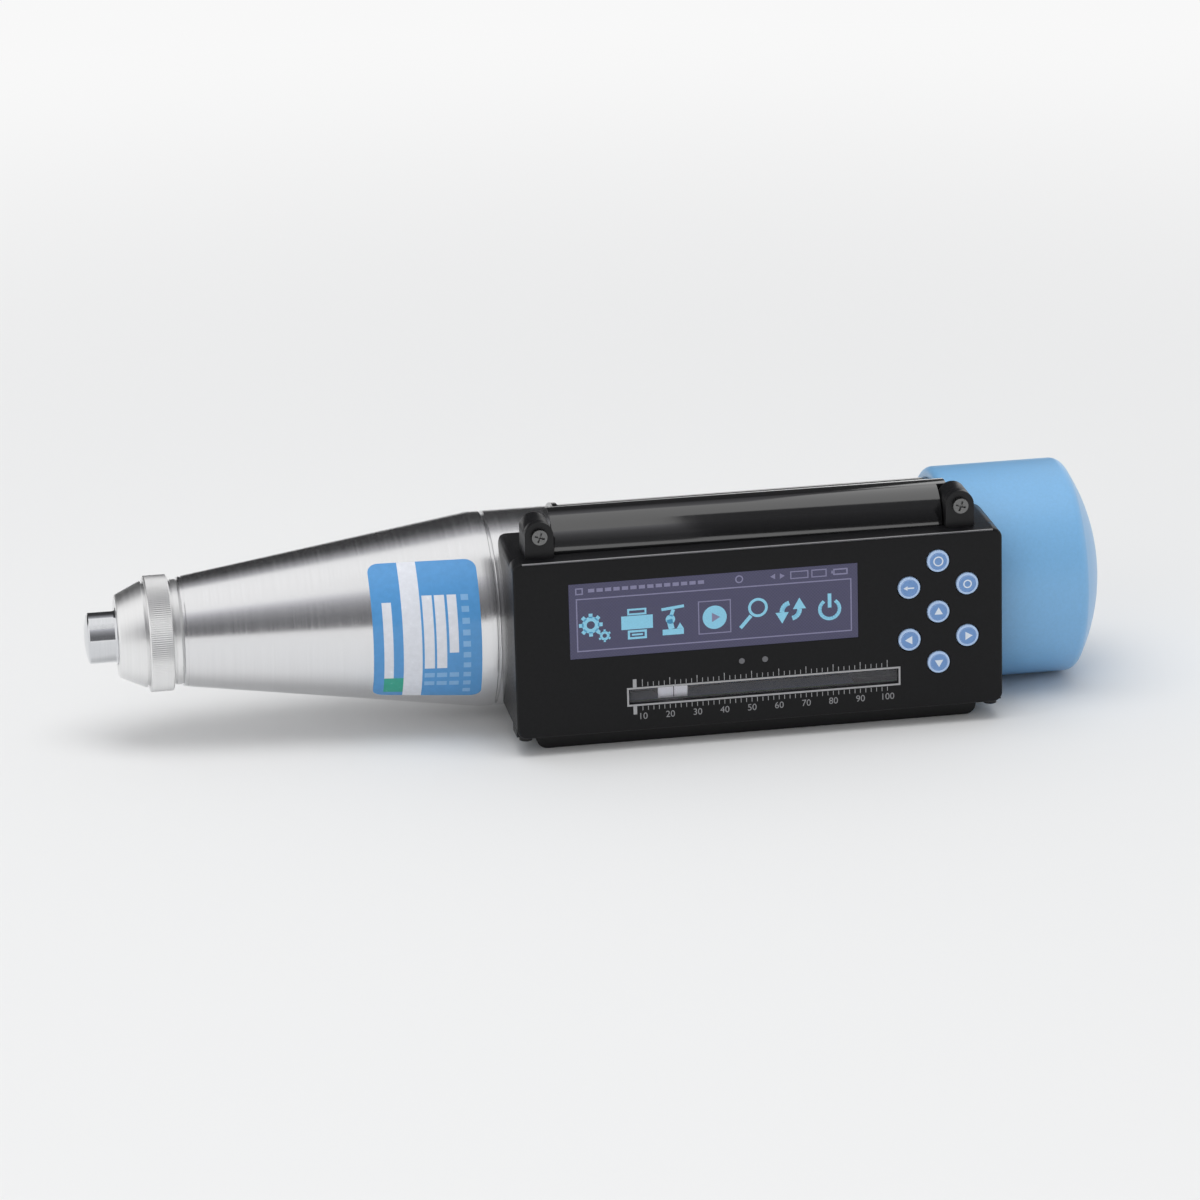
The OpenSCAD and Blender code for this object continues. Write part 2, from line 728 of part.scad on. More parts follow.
module cone_label() {
    slope = (front_r - cone_small_d / 2) / cone_len;
    x1 = x_cyl - label_back;
    x0 = x1 - label_len;
    r0 = front_r - (x_cyl - x0) * slope + 2 * bond;
    r1 = front_r - (x_cyl - x1) * slope + 2 * bond;
    over = slope * cut;
    wide = 2 * cap_d;
    color([0.16, 0.32, 0.70]) intersection() {
        difference() {
            turned([[x0, 0], [x0, r0 + label_t], [x1, r1 + label_t], [x1, 0]]);
            turned([[x0 - cut, 0], [x0 - cut, r0 - over], [x1 + cut, r1 + over], [x1 + cut, 0]]);
        }
        rotate([-label_up, 0, 0]) block(x0 - cut, x1 + cut, -wide, wide, -wide, 0);
        rotate([label_down, 0, 0]) block(x0 - cut, x1 + cut, -wide, wide, 0, wide);
    }
}

// The cut that the pointer's finger runs in, through the barrel and the housing.
module finger_slot() {
    half = guide_slot_h / 2;
    block(slot_x0, slot_x1, -inner_r - case_wall, -finger_depth, slot_z - half, slot_z + half);
}

module middle_barrel() {
    color([0.06, 0.06, 0.07]) difference() {
        union() {
            rod(x_barrel, x_barrel_end - x_barrel, barrel_r);
            rod(x_barrel, barrel_rim_w, barrel_rim_d / 2);
        }
        rod(x_barrel - cut, x_barrel_end - x_barrel + 2 * cut, bore_r);
        finger_slot();
        across(lock_x, 0, 0, box_front, lock_stem_r + lock_hole_gap);
    }
}

module rear_plug() {
    color([0.62, 0.62, 0.63]) difference() {
        union() {
            rod(x_plug, plug_thread_len + eps, bore_r - seam);
            rod(x_barrel_end, plug_flange_t, barrel_r - seam);
            rod(x_cup - eps, plug_cup_len + eps, plug_cup_d / 2);
        }
        rod(x_plug - cut, x_plug_end - plug_wall - x_plug + cut, plug_bore_d / 2);
        translate([0, 0, trip_z]) rod(x_plug, x_plug_end, trip_d / 2 + bond);
    }
}

module trip_screw() {
    x0 = pawl_x + pawl_tail_r + pawl_trip_gap;
    x1 = x_plug_end + trip_nut_t + trip_end;
    color([0.5, 0.5, 0.5]) translate([0, 0, trip_z]) rod(x0, x1 - x0, trip_d / 2);
}

module lock_nut() {
    color([0.55, 0.54, 0.50]) translate([0, 0, trip_z]) difference() {
        translate([x_plug_end, 0, 0]) rotate([0, 90, 0])
            cylinder(r = trip_nut_af / sqrt(3), h = trip_nut_t, $fn = 6);
        rod(x_plug_end - cut, trip_nut_t + 2 * cut, trip_d / 2 + bond);
    }
}

// A rod from x0 that ends in the cap's dome, or under its wall.
module domed(x0, r, wall) {
    intersection() {
        rod(x0, x_apex + cut - x0, r);
        translate([x_apex - cap_dome_r, 0, 0]) rotate([0, 90, 0]) sphere(cap_dome_r - wall, $fn = 128);
    }
}

module rear_cap() {
    rim_c = cap_r - cap_rim_r;
    inside_r = plug_cup_d / 2 + seam;
    color([0.41, 0.66, 0.87]) difference() {
        domed(x_cap, cap_r, 0);
        rod(x_cap - cut, x_cup - x_cap + seam + cut, barrel_r + seam);
        rod(x_cap, x_plug_end + seam - x_cap, inside_r);
        domed(x_cap, inside_r - cap_wall, cap_wall);
        rotate([0, 90, 0]) translate([0, 0, x_cap]) rotate_extrude() difference() {
            translate([rim_c, -cut]) square([cap_rim_r + cut, cap_rim_r + cut]);
            translate([rim_c, cap_rim_r]) circle(cap_rim_r);
        }
    }
}

module impact_spring() {
    x0 = x_hub + spring_end_gap;
    x1 = x0 + impact_spring_len;
    color([0.45, 0.45, 0.47])
        winding_x("impact spring", x0, x1, impact_mean_r, impact_wire, impact_turns);
}

module compression_spring() {
    x0 = x_disk_end + spring_end_gap;
    x1 = x_plug_end - plug_wall - spring_end_gap;
    color([0.45, 0.45, 0.47])
        winding_x("compression spring", x0, x1, main_mean_r, main_wire, main_turns);
}

module plunger() {
    color([0.75, 0.75, 0.76]) difference() {
        union() {
            intersection() {
                rod(x_tip, land_len, land_r);
                translate([x_tip + tip_dome_r, 0, 0]) rotate([0, 90, 0]) sphere(tip_dome_r, $fn = 128);
            }
            rod(x_shoulder, shaft_len, shaft_r);
        }
        rod(x_shaft_end - shaft_bore_depth, shaft_bore_depth + cut, shaft_bore_r);
    }
}

module guide_bar() {
    color([0.7, 0.7, 0.71]) rod(x_bar, x_disk_end - 1 - x_bar, bar_r);
}

module buffer_spring() {
    x0 = x_shaft_end - shaft_bore_depth + seam;
    turns = 4;
    color([0.45, 0.45, 0.47])
        winding_x("buffer spring", x0, x0 + buffer_len, bar_r - 0.7, buffer_wire, turns);
}

// The slot in the guide disk in which the pawl swings.
module pawl_slot() {
    half = pawl_slot_w / 2;
    block(x_disk - cut, x_disk_end + cut, -half, half, pawl_floor_z, 2 * bore_r);
}

module guide_disk() {
    color([0.68, 0.62, 0.45]) difference() {
        rod(x_disk, disk_t, bore_r - disk_play);
        rod(x_disk - cut, disk_t - 1 + cut, bar_r + bond);
        pawl_slot();
        across(pawl_x, -bore_r / 2, pawl_pivot_z, bore_r, pawl_pin_d / 2 + bond);
    }
}

module pawl_pin() {
    reach = pawl_slot_w / 2 + 4;
    color([0.6, 0.6, 0.6]) across(pawl_x, -reach, pawl_pivot_z, 2 * reach, pawl_pin_d / 2);
}

// Outline of the closed pawl about its pivot, drawn in the XZ plane.
module pawl_shape() {
    low = pawl_arm_z - pawl_pivot_z;
    high = pawl_top_z - pawl_pivot_z;
    tip = pawl_hook_r - pawl_pivot_z;
    tail = pawl_tail_z - pawl_pivot_z;
    difference() {
        union() {
            translate([-pawl_reach, low]) square([pawl_reach, high - low]);
            translate([-pawl_reach, tip]) square([pawl_hook_len, high - tip]);
            translate([-pawl_tail_r, tail]) square([2 * pawl_tail_r, high - tail]);
            circle(pawl_pin_d);
        }
        circle(pawl_pin_d / 2 + running_gap);
    }
}

module pawl() {
    color([0.55, 0.55, 0.56]) translate([pawl_x, 0, pawl_pivot_z]) rotate([0, pawl_open, 0])
        plate(-pawl_w / 2, pawl_w / 2) pawl_shape();
}

module pawl_spring() {
    wire = 0.4;
    turns = 3;
    low = pawl_floor_z + 0.1;
    color([0.45, 0.45, 0.47]) translate([pawl_x - 2.6, 0, low + wire / 2])
        winding("pawl spring", 1, wire, 2.9, turns);
}

module hammer_mass() {
    x_rim = x_mass_end - mass_rim_w;
    x_catch = x_rim - mass_groove_w;
    color([0.58, 0.58, 0.60]) difference() {
        turned([
            [x_mass, 0],
            [x_mass, mass_neck_d / 2],
            [x_mass + mass_neck_len, mass_neck_d / 2],
            [x_mass + mass_neck_len, mass_r],
            [x_catch, mass_r],
            [x_catch, mass_groove_d / 2],
            [x_rim, mass_groove_d / 2],
            [x_rim, mass_rim_d / 2],
            [x_mass_end, mass_rim_d / 2],
            [x_mass_end, 0]
        ]);
        rod(x_mass - cut, mass_len + 2 * cut, bar_r + running_gap);
    }
}

// One ear of the housing, as a plate with a round top.
module ear(x, y0, y1, hole) {
    plate(y0, y1) difference() {
        union() {
            translate([x - ear_r, box_z - cut]) square([2 * ear_r, ear_z - box_z + cut]);
            translate([x, ear_z]) circle(ear_r);
        }
        translate([x, ear_z]) circle(hole);
    }
}

module barrel_clear(r, relief) {
    rod(box_x0 - cut, box_len + 2 * cut, r);
    rod(x_relief - (relief - relief_r), box_len, relief);
}

module case_outline() {
    rounded(box_x0, box_x1, -box_z, box_z, box_corner_r);
}

// The room inside the housing's walls, from y0 to the axis.
module case_room(y0) {
    block(box_x0 + case_wall, box_x1 - case_wall, y0, 0, case_wall - box_z, box_z - case_wall);
}

// Upright screw holes under the housing, from below it up to z1.
module upright_holes(xs, y, r, z1) {
    for (x = xs) translate([x, y, -box_h]) cylinder(r = r, h = z1 + box_h);
}

module saddle_case() {
    half = guide_slot_h / 2;
    rod_y = -rod_depth;
    color([0.07, 0.07, 0.08]) difference() {
        union() {
            difference() {
                plate(y_part, -saddle_back) case_outline();
                difference() {
                    case_room(y_part - cut);
                    barrel_clear(inner_r, inner_relief_r);
                }
            }
            for (x = [rod_x0, rod_x1 - bracket_t])
                block(x, x + bracket_t, rod_y - rod_d, -finger_depth, slot_z - half, slot_z + half);
            for (x = ear_xs) ear(x, y_part, y_part + ear_rear_len, ear_screw_d / 2 + bond);
            for (x = [box_x0, box_x1 - tongue_len])
                block(x, x + tongue_len, y_tongue, y_part + case_wall, -box_z, tongue_t - box_z);
            for (x = cover_screw_xs) translate([x, cover_screw_y, -box_z])
                cylinder(r = cover_boss_r, h = cover_boss_h + cut);
        }
        barrel_clear(saddle_r, relief_r);
        rod(x_barrel - seam, barrel_rim_w + 2 * seam, barrel_rim_d / 2 + seam);
        finger_slot();
        translate([0, rod_y, slot_z]) rod(rod_x0 - cut, rod_x1 - rod_x0 + 2 * cut, rod_d / 2 + bond);
        battery_room(-box_h, case_wall + eps - box_z);
        upright_holes(corner_xs, corner_y, corner_screw_d / 2 + seam, tongue_t - box_z + eps);
        upright_holes(cover_screw_xs, cover_screw_y, corner_screw_d / 2 + bond, cover_boss_h - box_z);
        for (x = hood_peg_xs) translate([x, hood_y, box_z - case_wall - cut])
            cylinder(r = hood_peg_d / 2 + bond, h = case_wall + 2 * cut);
        charge_opening();
    }
}

// The half-round hood between the ears, over the wiring, pegged into the housing's top.
module top_hood() {
    color([0.05, 0.05, 0.06]) union() {
        difference() {
            intersection() {
                translate([0, hood_y, hood_z]) rod(hood_x0, hood_x1 - hood_x0, hood_r);
                block(hood_x0 - cut, hood_x1 + cut, y_part - cut, hood_y + 2 * hood_r,
                    box_z, box_z + 2 * hood_r);
            }
            translate([0, hood_y, hood_z])
                rod(hood_x0 + hood_end, hood_side - hood_x0 - 2 * hood_end, hood_r - hood_wall);
            block(hood_side, hood_x1 + cut, y_part - cut, y_part + ear_rear_len + hood_gap,
                box_z - cut, box_z + hood_r + cut);
        }
        for (x = hood_peg_xs) translate([x, hood_y, box_z - case_wall])
            cylinder(r = hood_peg_d / 2, h = case_wall + hood_r / 2);
    }
}

// The hole in the right end wall for the charging socket.
module charge_opening() {
    block(box_x1 - case_wall - cut, box_x1 + cut, y_board_back, y_board_back + socket_h + seam,
        slot_z - socket_w / 2 - seam, slot_z + socket_w / 2 + seam);
}

module window_shape(grow) {
    translate([window_x0 - grow, window_z - window_h / 2 - grow])
        square([window_len + 2 * grow, window_h + 2 * grow]);
}

module slot_shape(grow) {
    translate([slot_x0 - grow, slot_z - slot_h / 2 - grow])
        square([slot_len + 2 * grow, slot_h + 2 * grow]);
}

module key_holes() {
    for (k = keys) translate([key_x + k[0], key_z + k[1]]) circle(key_r + key_gap);
}

module lamp_holes() {
    for (x = lamp_xs) translate([x, lamp_z]) circle(lamp_d / 2 + seam / 2);
}

module front_case() {
    color([0.07, 0.07, 0.08]) difference() {
        union() {
            difference() {
                plate(y_tray, y_part) case_outline();
                case_room(y_tray_in);
            }
            for (x = ear_xs) ear(x, y_part - ear_front_len, y_part, ear_screw_d / 2 + 0.2);
            for (x = [box_x0, box_x1 - tongue_len - 0.4])
                translate([0.2, 0, 0])
                    block(x, x + tongue_len, y_tray_in - eps, y_part, tongue_t - box_z, corner_boss_z);
            for (x = [board_x0 + boss_r, board_x1 - boss_r])
                across(x, y_tray_in - eps, board_z - post_down, y_board - y_tray_in + eps, boss_r);
            for (x = [slot_x0 - post_left, slot_x1 + post_right])
                across(x, y_tray_in - eps, post_up - board_z, y_board - y_tray_in + eps, boss_r);
        }
        for (x = [box_x0 - cut, box_x1 - tongue_len - seam])
            block(x, x + tongue_len + cut + seam, y_tongue - seam, y_part + cut, -box_h, tongue_t - box_z);
        upright_holes(corner_xs, corner_y, corner_screw_d / 2 + bond, corner_boss_z - 1);
        plate(y_tray - cut, y_tray_in + cut) window_shape(-window_ledge);
        plate(y_tray - cut, y_tray_in + cut) slot_shape(0);
        plate(y_tray - cut, y_tray + tray_front_t / 2) slot_shape(cut);
        plate(y_tray - cut, y_tray_in + cut) key_holes();
        plate(y_tray - cut, y_tray_in + cut) lamp_holes();
    }
}

module face_panel() {
    color([0.03, 0.03, 0.035]) difference() {
        plate(y_face, y_tray) case_outline();
        plate(y_face - cut, y_tray + cut) window_shape(seam);
        plate(y_face - cut, y_tray + cut) slot_shape(0);
        plate(y_face - cut, y_tray + cut) key_holes();
        plate(y_face - cut, y_tray + cut) lamp_holes();
    }
}

module display_glass() {
    color([0.35, 0.33, 0.42]) plate(y_face + 0.1, y_tray) window_shape(0);
}

module display_module() {
    z0 = window_z - window_h / 2 - 3;
    z1 = min(window_z + window_h / 2 + 3, box_z - case_wall - 0.4);
    y0 = y_tray_in + seam;
    color([0.2, 0.2, 0.22])
        block(window_x0 - module_lap, window_x1 + module_lap, y0, y0 + module_t, z0, z1);
}

module main_board() {
    half = board_slot_h / 2;
    ends = bracket_off + bracket_t + 1;
    y0 = y_board - cut;
    y1 = y_board_back + cut;
    color([0.05, 0.30, 0.14]) difference() {
        block(board_x0, board_x1, y_board, y_board_back, -board_z, board_z);
        block(slot_x0 - ends, slot_x1 + ends, y0, y1, slot_z - half, slot_z + half);
        for (x = [box_x0, box_x1 - tongue_len - 2])
            block(x - cut, x + tongue_len + 2 + cut, y0, y1, -box_z, corner_boss_z + 0.6);
    }
}

module key_switches() {
    color([0.75, 0.75, 0.72])
        for (k = keys) across(key_x + k[0], y_board - switch_h, key_z + k[1], switch_h, switch_r);
}

module sensor_strip() {
    z0 = slot_z + board_slot_h / 2 + strip_gap;
    color([0.12, 0.22, 0.45]) block(slot_x0, slot_x1, y_board_back, y_board_back + strip_t, z0, z0 + strip_h);
}

module scale_window() {
    color([0.75, 0.78, 0.80]) plate(y_tray, y_tray + tray_front_t / 2) slot_shape(cut - seam);
}

module rider_rod() {
    color([0.7, 0.7, 0.71]) translate([0, -rod_depth, slot_z]) rod(rod_x0, rod_x1 - rod_x0, rod_d / 2);
}

module pointer_rider() {
    y0 = y_tray_in + pointer_gap;
    half = pointer_h / 2;
    color([0.72, 0.72, 0.73]) difference() {
        union() {
            for (part = [[pointer_len / 2, 3 - rod_depth], [finger_len / 2, -finger_depth]])
                block(pointer_x - part[0], pointer_x + part[0], y0, part[1], slot_z - half, slot_z + half);
        }
        translate([0, -rod_depth, slot_z])
            rod(pointer_x - pointer_len, 2 * pointer_len, rod_d / 2 + running_gap);
    }
}

// The opening around the battery, from z0 to z1.
module battery_room(z0, z1) {
    side = battery_room_gap;
    translate([battery_x0 - side, battery_y0 - side, z0])
        cube([battery_len + 2 * side, battery_w + 2 * side, z1 - z0]);
}

module battery() {
    color([0.25, 0.35, 0.55])
        translate([battery_x0, battery_y0, battery_z0]) cube([battery_len, battery_w, battery_h]);
}

module cover_outline() {
    r = cover_corner_r;
    top = -box_z - seam;
    intersection() {
        union() {
            translate([cover_x0, cover_z + r]) square([cover_len, box_h]);
            translate([cover_x0 + r, cover_z]) square([cover_len - 2 * r, box_h]);
            for (x = [cover_x0 + r, cover_x1 - r]) translate([x, cover_z + r]) circle(r);
        }
        translate([cover_x0, cover_z]) square([cover_len, top - cover_z]);
    }
}

module base_cover() {
    x_back = x_relief - 1;
    color([0.07, 0.07, 0.08]) difference() {
        union() {
            plate(cover_y0, -saddle_back - 1.2) cover_outline();
            intersection() {
                plate(-saddle_back - 1.2 - eps, cover_back) cover_outline();
                block(box_x0, x_back, cover_y0, cover_back + cut, cover_z - cut, 0);
            }
        }
        rod(box_x0, box_len, saddle_r);
        rod(x_relief, box_len, relief_r);
        rod(x_barrel - seam, barrel_rim_w + 2 * seam, barrel_rim_d / 2 + seam);
        battery_room(cover_z + cover_floor, 0);
        upright_holes(cover_screw_xs, cover_screw_y, corner_screw_d / 2 + seam, 0);
        upright_holes(cover_screw_xs, cover_screw_y, corner_head_d / 2 + seam, cover_head_z);
    }
}

// A cross-recess screw along +Z with the underside of its head at z 0.
module screw(d, head_d, len) {
    arm = 0.5;
    difference() {
        union() {
            translate([0, 0, -eps]) cylinder(r = d / 2, h = len + eps);
            translate([0, 0, -screw_head_h]) cylinder(r = head_d / 2, h = screw_head_h);
        }
        for (a = [0, 90]) rotate([0, 0, a]) translate([-head_d / 3, -arm / 2, -screw_head_h - cut])
            cube([2 * head_d / 3, arm, cut + 0.8]);
    }
}

module cover_screws() {
    len = cover_boss_h - box_z - 0.4 - cover_head_z;
    color([0.55, 0.55, 0.56]) for (x = cover_screw_xs)
        translate([x, cover_screw_y, cover_head_z]) screw(corner_screw_d, corner_head_d, len);
}

module corner_screws() {
    color([0.55, 0.55, 0.56]) for (x = corner_xs)
        translate([x, corner_y, -box_z]) screw(corner_screw_d, corner_head_d, corner_boss_z + box_z - 1.4);
}

module ear_screws() {
    len = ear_front_len + ear_rear_len - 0.4;
    color([0.60, 0.60, 0.60]) for (x = ear_xs) translate([x, y_part - ear_front_len, ear_z])
        rotate([-90, 0, 0]) rotate([0, 0, 20]) screw(ear_screw_d, ear_head_d, len);
}

module speaker() {
    x = slot_x1 + 3;
    z = window_z + 5;
    color([0.12, 0.12, 0.13]) across(x, y_board_back, z, speaker_t, speaker_d / 2);
}

module charge_socket() {
    x1 = box_x1 - 0.6;
    wall = 0.5;
    half = socket_w / 2;
    color([0.62, 0.62, 0.63]) difference() {
        block(x1 - socket_len, x1, y_board_back, y_board_back + socket_h, slot_z - half, slot_z + half);
        block(x1 - socket_len + 1.5, x1 + cut, y_board_back + wall, y_board_back + socket_h - wall,
            slot_z - half + wall, slot_z + half - wall);
    }
}

module status_lamps() {
    color([0.80, 0.85, 0.88]) for (x = lamp_xs)
        across(x, y_face, lamp_z, panel_t + tray_front_t, lamp_d / 2);
}

module lock_bush() {
    color([0.10, 0.10, 0.11]) difference() {
        across(lock_x, bore_r, 0, lock_bush_y - bore_r, lock_bush_d / 2);
        rod(lock_x - lock_bush_d, 2 * lock_bush_d, saddle_r);
        across(lock_x, lock_floor_y, 0, box_front, lock_r + lock_play);
        across(lock_x, 0, 0, box_front, lock_stem_r + lock_play);
    }
}

module lock_button() {
    color([0.62, 0.62, 0.63]) union() {
        across(lock_x, lock_head_y, 0, lock_bush_y + lock_proud - lock_head_y, lock_r);
        across(lock_x, bore_r + 0.4, 0, lock_head_y - bore_r - 0.4 + eps, lock_stem_r);
    }
}

module lock_spring() {
    wire = 0.6;
    turns = 2;
    color([0.45, 0.45, 0.47]) translate([lock_x, lock_floor_y + wire / 2 + 0.1, 0]) rotate([-90, 0, 0])
        winding("lock spring", lock_r - 1, wire, lock_travel - wire - 0.1, turns);
}

module key_at(i) {
    y0 = y_face - key_proud;
    y_flange = y_tray_in + 0.15;
    y1 = y_board - switch_h - key_travel - 0.1;
    color([0.41, 0.66, 0.87]) translate([key_x + keys[i][0], 0, key_z + keys[i][1]]) union() {
        across(0, y0, 0, y1 - y0, key_r);
        across(0, y_flange, 0, key_flange_t, key_flange_r);
    }
}

module key_top() {
    key_at(0);
}

module key_upper_left() {
    key_at(1);
}

module key_upper_right() {
    key_at(2);
}

module key_middle() {
    key_at(3);
}

module key_lower_left() {
    key_at(4);
}

module key_lower_right() {
    key_at(5);
}

module key_bottom() {
    key_at(6);
}

nose_cap();
felt_seal();
split_ring();
guide_sleeve();
front_barrel();
cone_label();
middle_barrel();
rear_plug();
trip_screw();
lock_nut();
rear_cap();
impact_spring();
compression_spring();
plunger();
guide_bar();
buffer_spring();
guide_disk();
pawl_pin();
pawl_spring();
pawl();
hammer_mass();
saddle_case();
top_hood();
front_case();
face_panel();
display_glass();
display_module();
main_board();
key_switches();
sensor_strip();
scale_window();
rider_rod();
pointer_rider();
battery();
base_cover();
cover_screws();
speaker();
charge_socket();
status_lamps();
ear_screws();
corner_screws();
lock_bush();
lock_button();
lock_spring();
key_top();
key_upper_left();
key_upper_right();
key_middle();
key_lower_left();
key_lower_right();
key_bottom();
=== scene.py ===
# %% [markdown]
# # A digital concrete test hammer
# A rebound hammer tests concrete: a sprung mass strikes a plunger, and the height of its rebound
# is read on a scale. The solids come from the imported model, so this lesson only dresses them:
# turned metal with its tool marks, moulded plastic with its rounded edges, the printed face,
# the lit display and the sticker. Sizes of the hammer are written in millimetres and scaled to
# Blender's metres; the studio around it is in metres.

# %% Load the solids
import math

import bpy
from mathutils import Matrix, Vector


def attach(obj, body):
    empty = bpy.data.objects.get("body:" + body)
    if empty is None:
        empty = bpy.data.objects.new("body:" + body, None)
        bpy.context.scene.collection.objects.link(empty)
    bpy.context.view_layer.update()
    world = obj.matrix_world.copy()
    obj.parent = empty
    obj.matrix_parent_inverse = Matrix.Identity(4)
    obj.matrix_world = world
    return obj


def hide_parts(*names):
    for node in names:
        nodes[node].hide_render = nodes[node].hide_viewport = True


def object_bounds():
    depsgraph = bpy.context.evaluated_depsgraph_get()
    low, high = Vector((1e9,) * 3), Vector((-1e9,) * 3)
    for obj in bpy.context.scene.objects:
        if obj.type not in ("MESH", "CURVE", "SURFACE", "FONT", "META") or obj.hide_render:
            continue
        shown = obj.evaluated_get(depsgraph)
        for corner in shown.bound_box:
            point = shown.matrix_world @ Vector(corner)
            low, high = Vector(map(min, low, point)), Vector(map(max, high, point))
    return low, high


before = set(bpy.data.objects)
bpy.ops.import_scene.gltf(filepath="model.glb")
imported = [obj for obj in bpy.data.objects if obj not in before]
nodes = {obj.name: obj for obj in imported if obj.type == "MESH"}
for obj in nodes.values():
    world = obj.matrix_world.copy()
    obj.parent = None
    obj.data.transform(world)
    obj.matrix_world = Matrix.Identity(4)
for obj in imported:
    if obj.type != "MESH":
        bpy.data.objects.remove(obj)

MM = 0.001
cad_box = [list(corner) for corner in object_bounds()]
print("solids", len(nodes), "box", [[round(v / MM, 1) for v in corner] for corner in cad_box])

# %% [markdown]
# ## The camera
# A camera can be guessed by eye or solved from points that are known on the object. Here the
# corners of the housing and the scale's marks gave its place, 1.4 m in front and 0.45 m above.
# It looks straight at the middle of the hammer, with the slight roll of the photograph.

# %% Camera
CAMERA_PLACE = Vector((-0.0833, -1.3821, 0.4553))
CAMERA_TARGET = Vector((0.1375, -0.004, 0.001))
CAMERA_ROLL = math.radians(-1.58)
camera_data = bpy.data.cameras.new("photo_camera")
camera_data.sensor_width = 36.0
camera_data.lens = 160.0
camera = bpy.data.objects.new("photo_camera", camera_data)
bpy.context.scene.collection.objects.link(camera)
look = (CAMERA_TARGET - CAMERA_PLACE).to_track_quat("-Z", "Y").to_matrix()
rolled = look @ Matrix.Rotation(CAMERA_ROLL, 3, "Z")
camera.matrix_world = Matrix.Translation(CAMERA_PLACE) @ rolled.to_4x4()
bpy.context.scene.camera = camera
print("camera", [round(v, 3) for v in CAMERA_PLACE], "lens", camera_data.lens)

# %% [markdown]
# ## Floor, world and lamps
# A pale floor that fades into white, and soft lamps, show a product plainly. Polished metal has
# no colour of its own, only what it mirrors, so a photographer sets dark cards beside the light:
# they draw the dark bands along the cone. The cards here are seen by reflections alone, and
# shade nothing.

# %% Floor
MIDDLE = (0.14, 0, 0)
FLOOR_Z = cad_box[0][2] - 0.02 * MM
FLOOR_SIZE, FADE_START, FADE_END = 14, 0.22, 0.9


def clear_selection():
    """Leaves edit mode and deselects everything, so that the next operator acts on one piece."""
    if bpy.context.object and bpy.context.object.mode != "OBJECT":
        bpy.ops.object.mode_set(mode="OBJECT")
    bpy.ops.object.select_all(action="DESELECT")


def new_finish(name):
    """A node material with its tree and its shader."""
    made = bpy.data.materials.new(name)
    made.use_nodes = True
    return made, made.node_tree, made.node_tree.nodes["Principled BSDF"]


def set_inputs(node, **values):
    """Sets inputs of a node by name, with an underscore for each space."""
    for key, value in values.items():
        node.inputs[key.replace("_", " ")].default_value = value


clear_selection()
bpy.ops.mesh.primitive_plane_add(size=FLOOR_SIZE, location=(MIDDLE[0], MIDDLE[1], FLOOR_Z))
floor = bpy.context.object
floor.name = "studio_floor"
floor_paint, tree, shader = new_finish("floor_paint")
set_inputs(shader, Base_Color=(0.84, 0.84, 0.84, 1), Roughness=0.9, Specular_IOR_Level=0.1)
place = tree.nodes.new("ShaderNodeTexCoord")
reach = tree.nodes.new("ShaderNodeVectorMath")
reach.operation = "LENGTH"
fade = tree.nodes.new("ShaderNodeMapRange")
fade.interpolation_type = "SMOOTHSTEP"
set_inputs(fade, From_Min=FADE_START, From_Max=FADE_END)
white = tree.nodes.new("ShaderNodeEmission")
set_inputs(white, Color=(0.94, 0.94, 0.94, 1))
mix = tree.nodes.new("ShaderNodeMixShader")
tree.links.new(place.outputs["Object"], reach.inputs[0])
tree.links.new(reach.outputs["Value"], fade.inputs["Value"])
tree.links.new(fade.outputs["Result"], mix.inputs[0])
tree.links.new(shader.outputs[0], mix.inputs[1])
tree.links.new(white.outputs[0], mix.inputs[2])
tree.links.new(mix.outputs[0], tree.nodes["Material Output"].inputs["Surface"])
floor.data.materials.append(floor_paint)
print("floor at", round(FLOOR_Z / MM, 2), "mm")

# %% World
FILL_LIGHT, SEEN_LIGHT = 0.64, 1.0
world = bpy.data.worlds.new("studio_world")
bpy.context.scene.world = world
world.use_nodes = True
sky = world.node_tree
backdrop = sky.nodes["Background"]
set_inputs(backdrop, Color=(1, 1, 1, 1), Strength=SEEN_LIGHT)
fill = sky.nodes.new("ShaderNodeBackground")
set_inputs(fill, Color=(0.98, 0.99, 1.0, 1), Strength=FILL_LIGHT)
rays = sky.nodes.new("ShaderNodeLightPath")
camera_or_glossy = sky.nodes.new("ShaderNodeMath")
seen = sky.nodes.new("ShaderNodeMath")
camera_or_glossy.operation = seen.operation = "MAXIMUM"
mix = sky.nodes.new("ShaderNodeMixShader")
sky.links.new(rays.outputs["Is Camera Ray"], camera_or_glossy.inputs[0])
sky.links.new(rays.outputs["Is Glossy Ray"], camera_or_glossy.inputs[1])
sky.links.new(camera_or_glossy.outputs[0], seen.inputs[0])
sky.links.new(rays.outputs["Is Transmission Ray"], seen.inputs[1])
sky.links.new(seen.outputs[0], mix.inputs[0])
sky.links.new(fill.outputs[0], mix.inputs[1])
sky.links.new(backdrop.outputs[0], mix.inputs[2])
sky.links.new(mix.outputs[0], sky.nodes["World Output"].inputs["Surface"])
print("world with", len(sky.nodes), "nodes")


# %% Lamps
def soft_lamp(name, place, size, power):
    """A soft area lamp aimed at the hammer's middle; reflections don't show it."""
    data = bpy.data.lights.new(name, "AREA")
    data.shape = "RECTANGLE"
    data.size, data.size_y = size
    data.energy = power
    lamp = bpy.data.objects.new(name, data)
    bpy.context.scene.collection.objects.link(lamp)
    lamp.location = place
    lamp.rotation_euler = (Vector(MIDDLE) - Vector(place)).to_track_quat("-Z", "Y").to_euler()
    lamp.visible_glossy = False
    return lamp


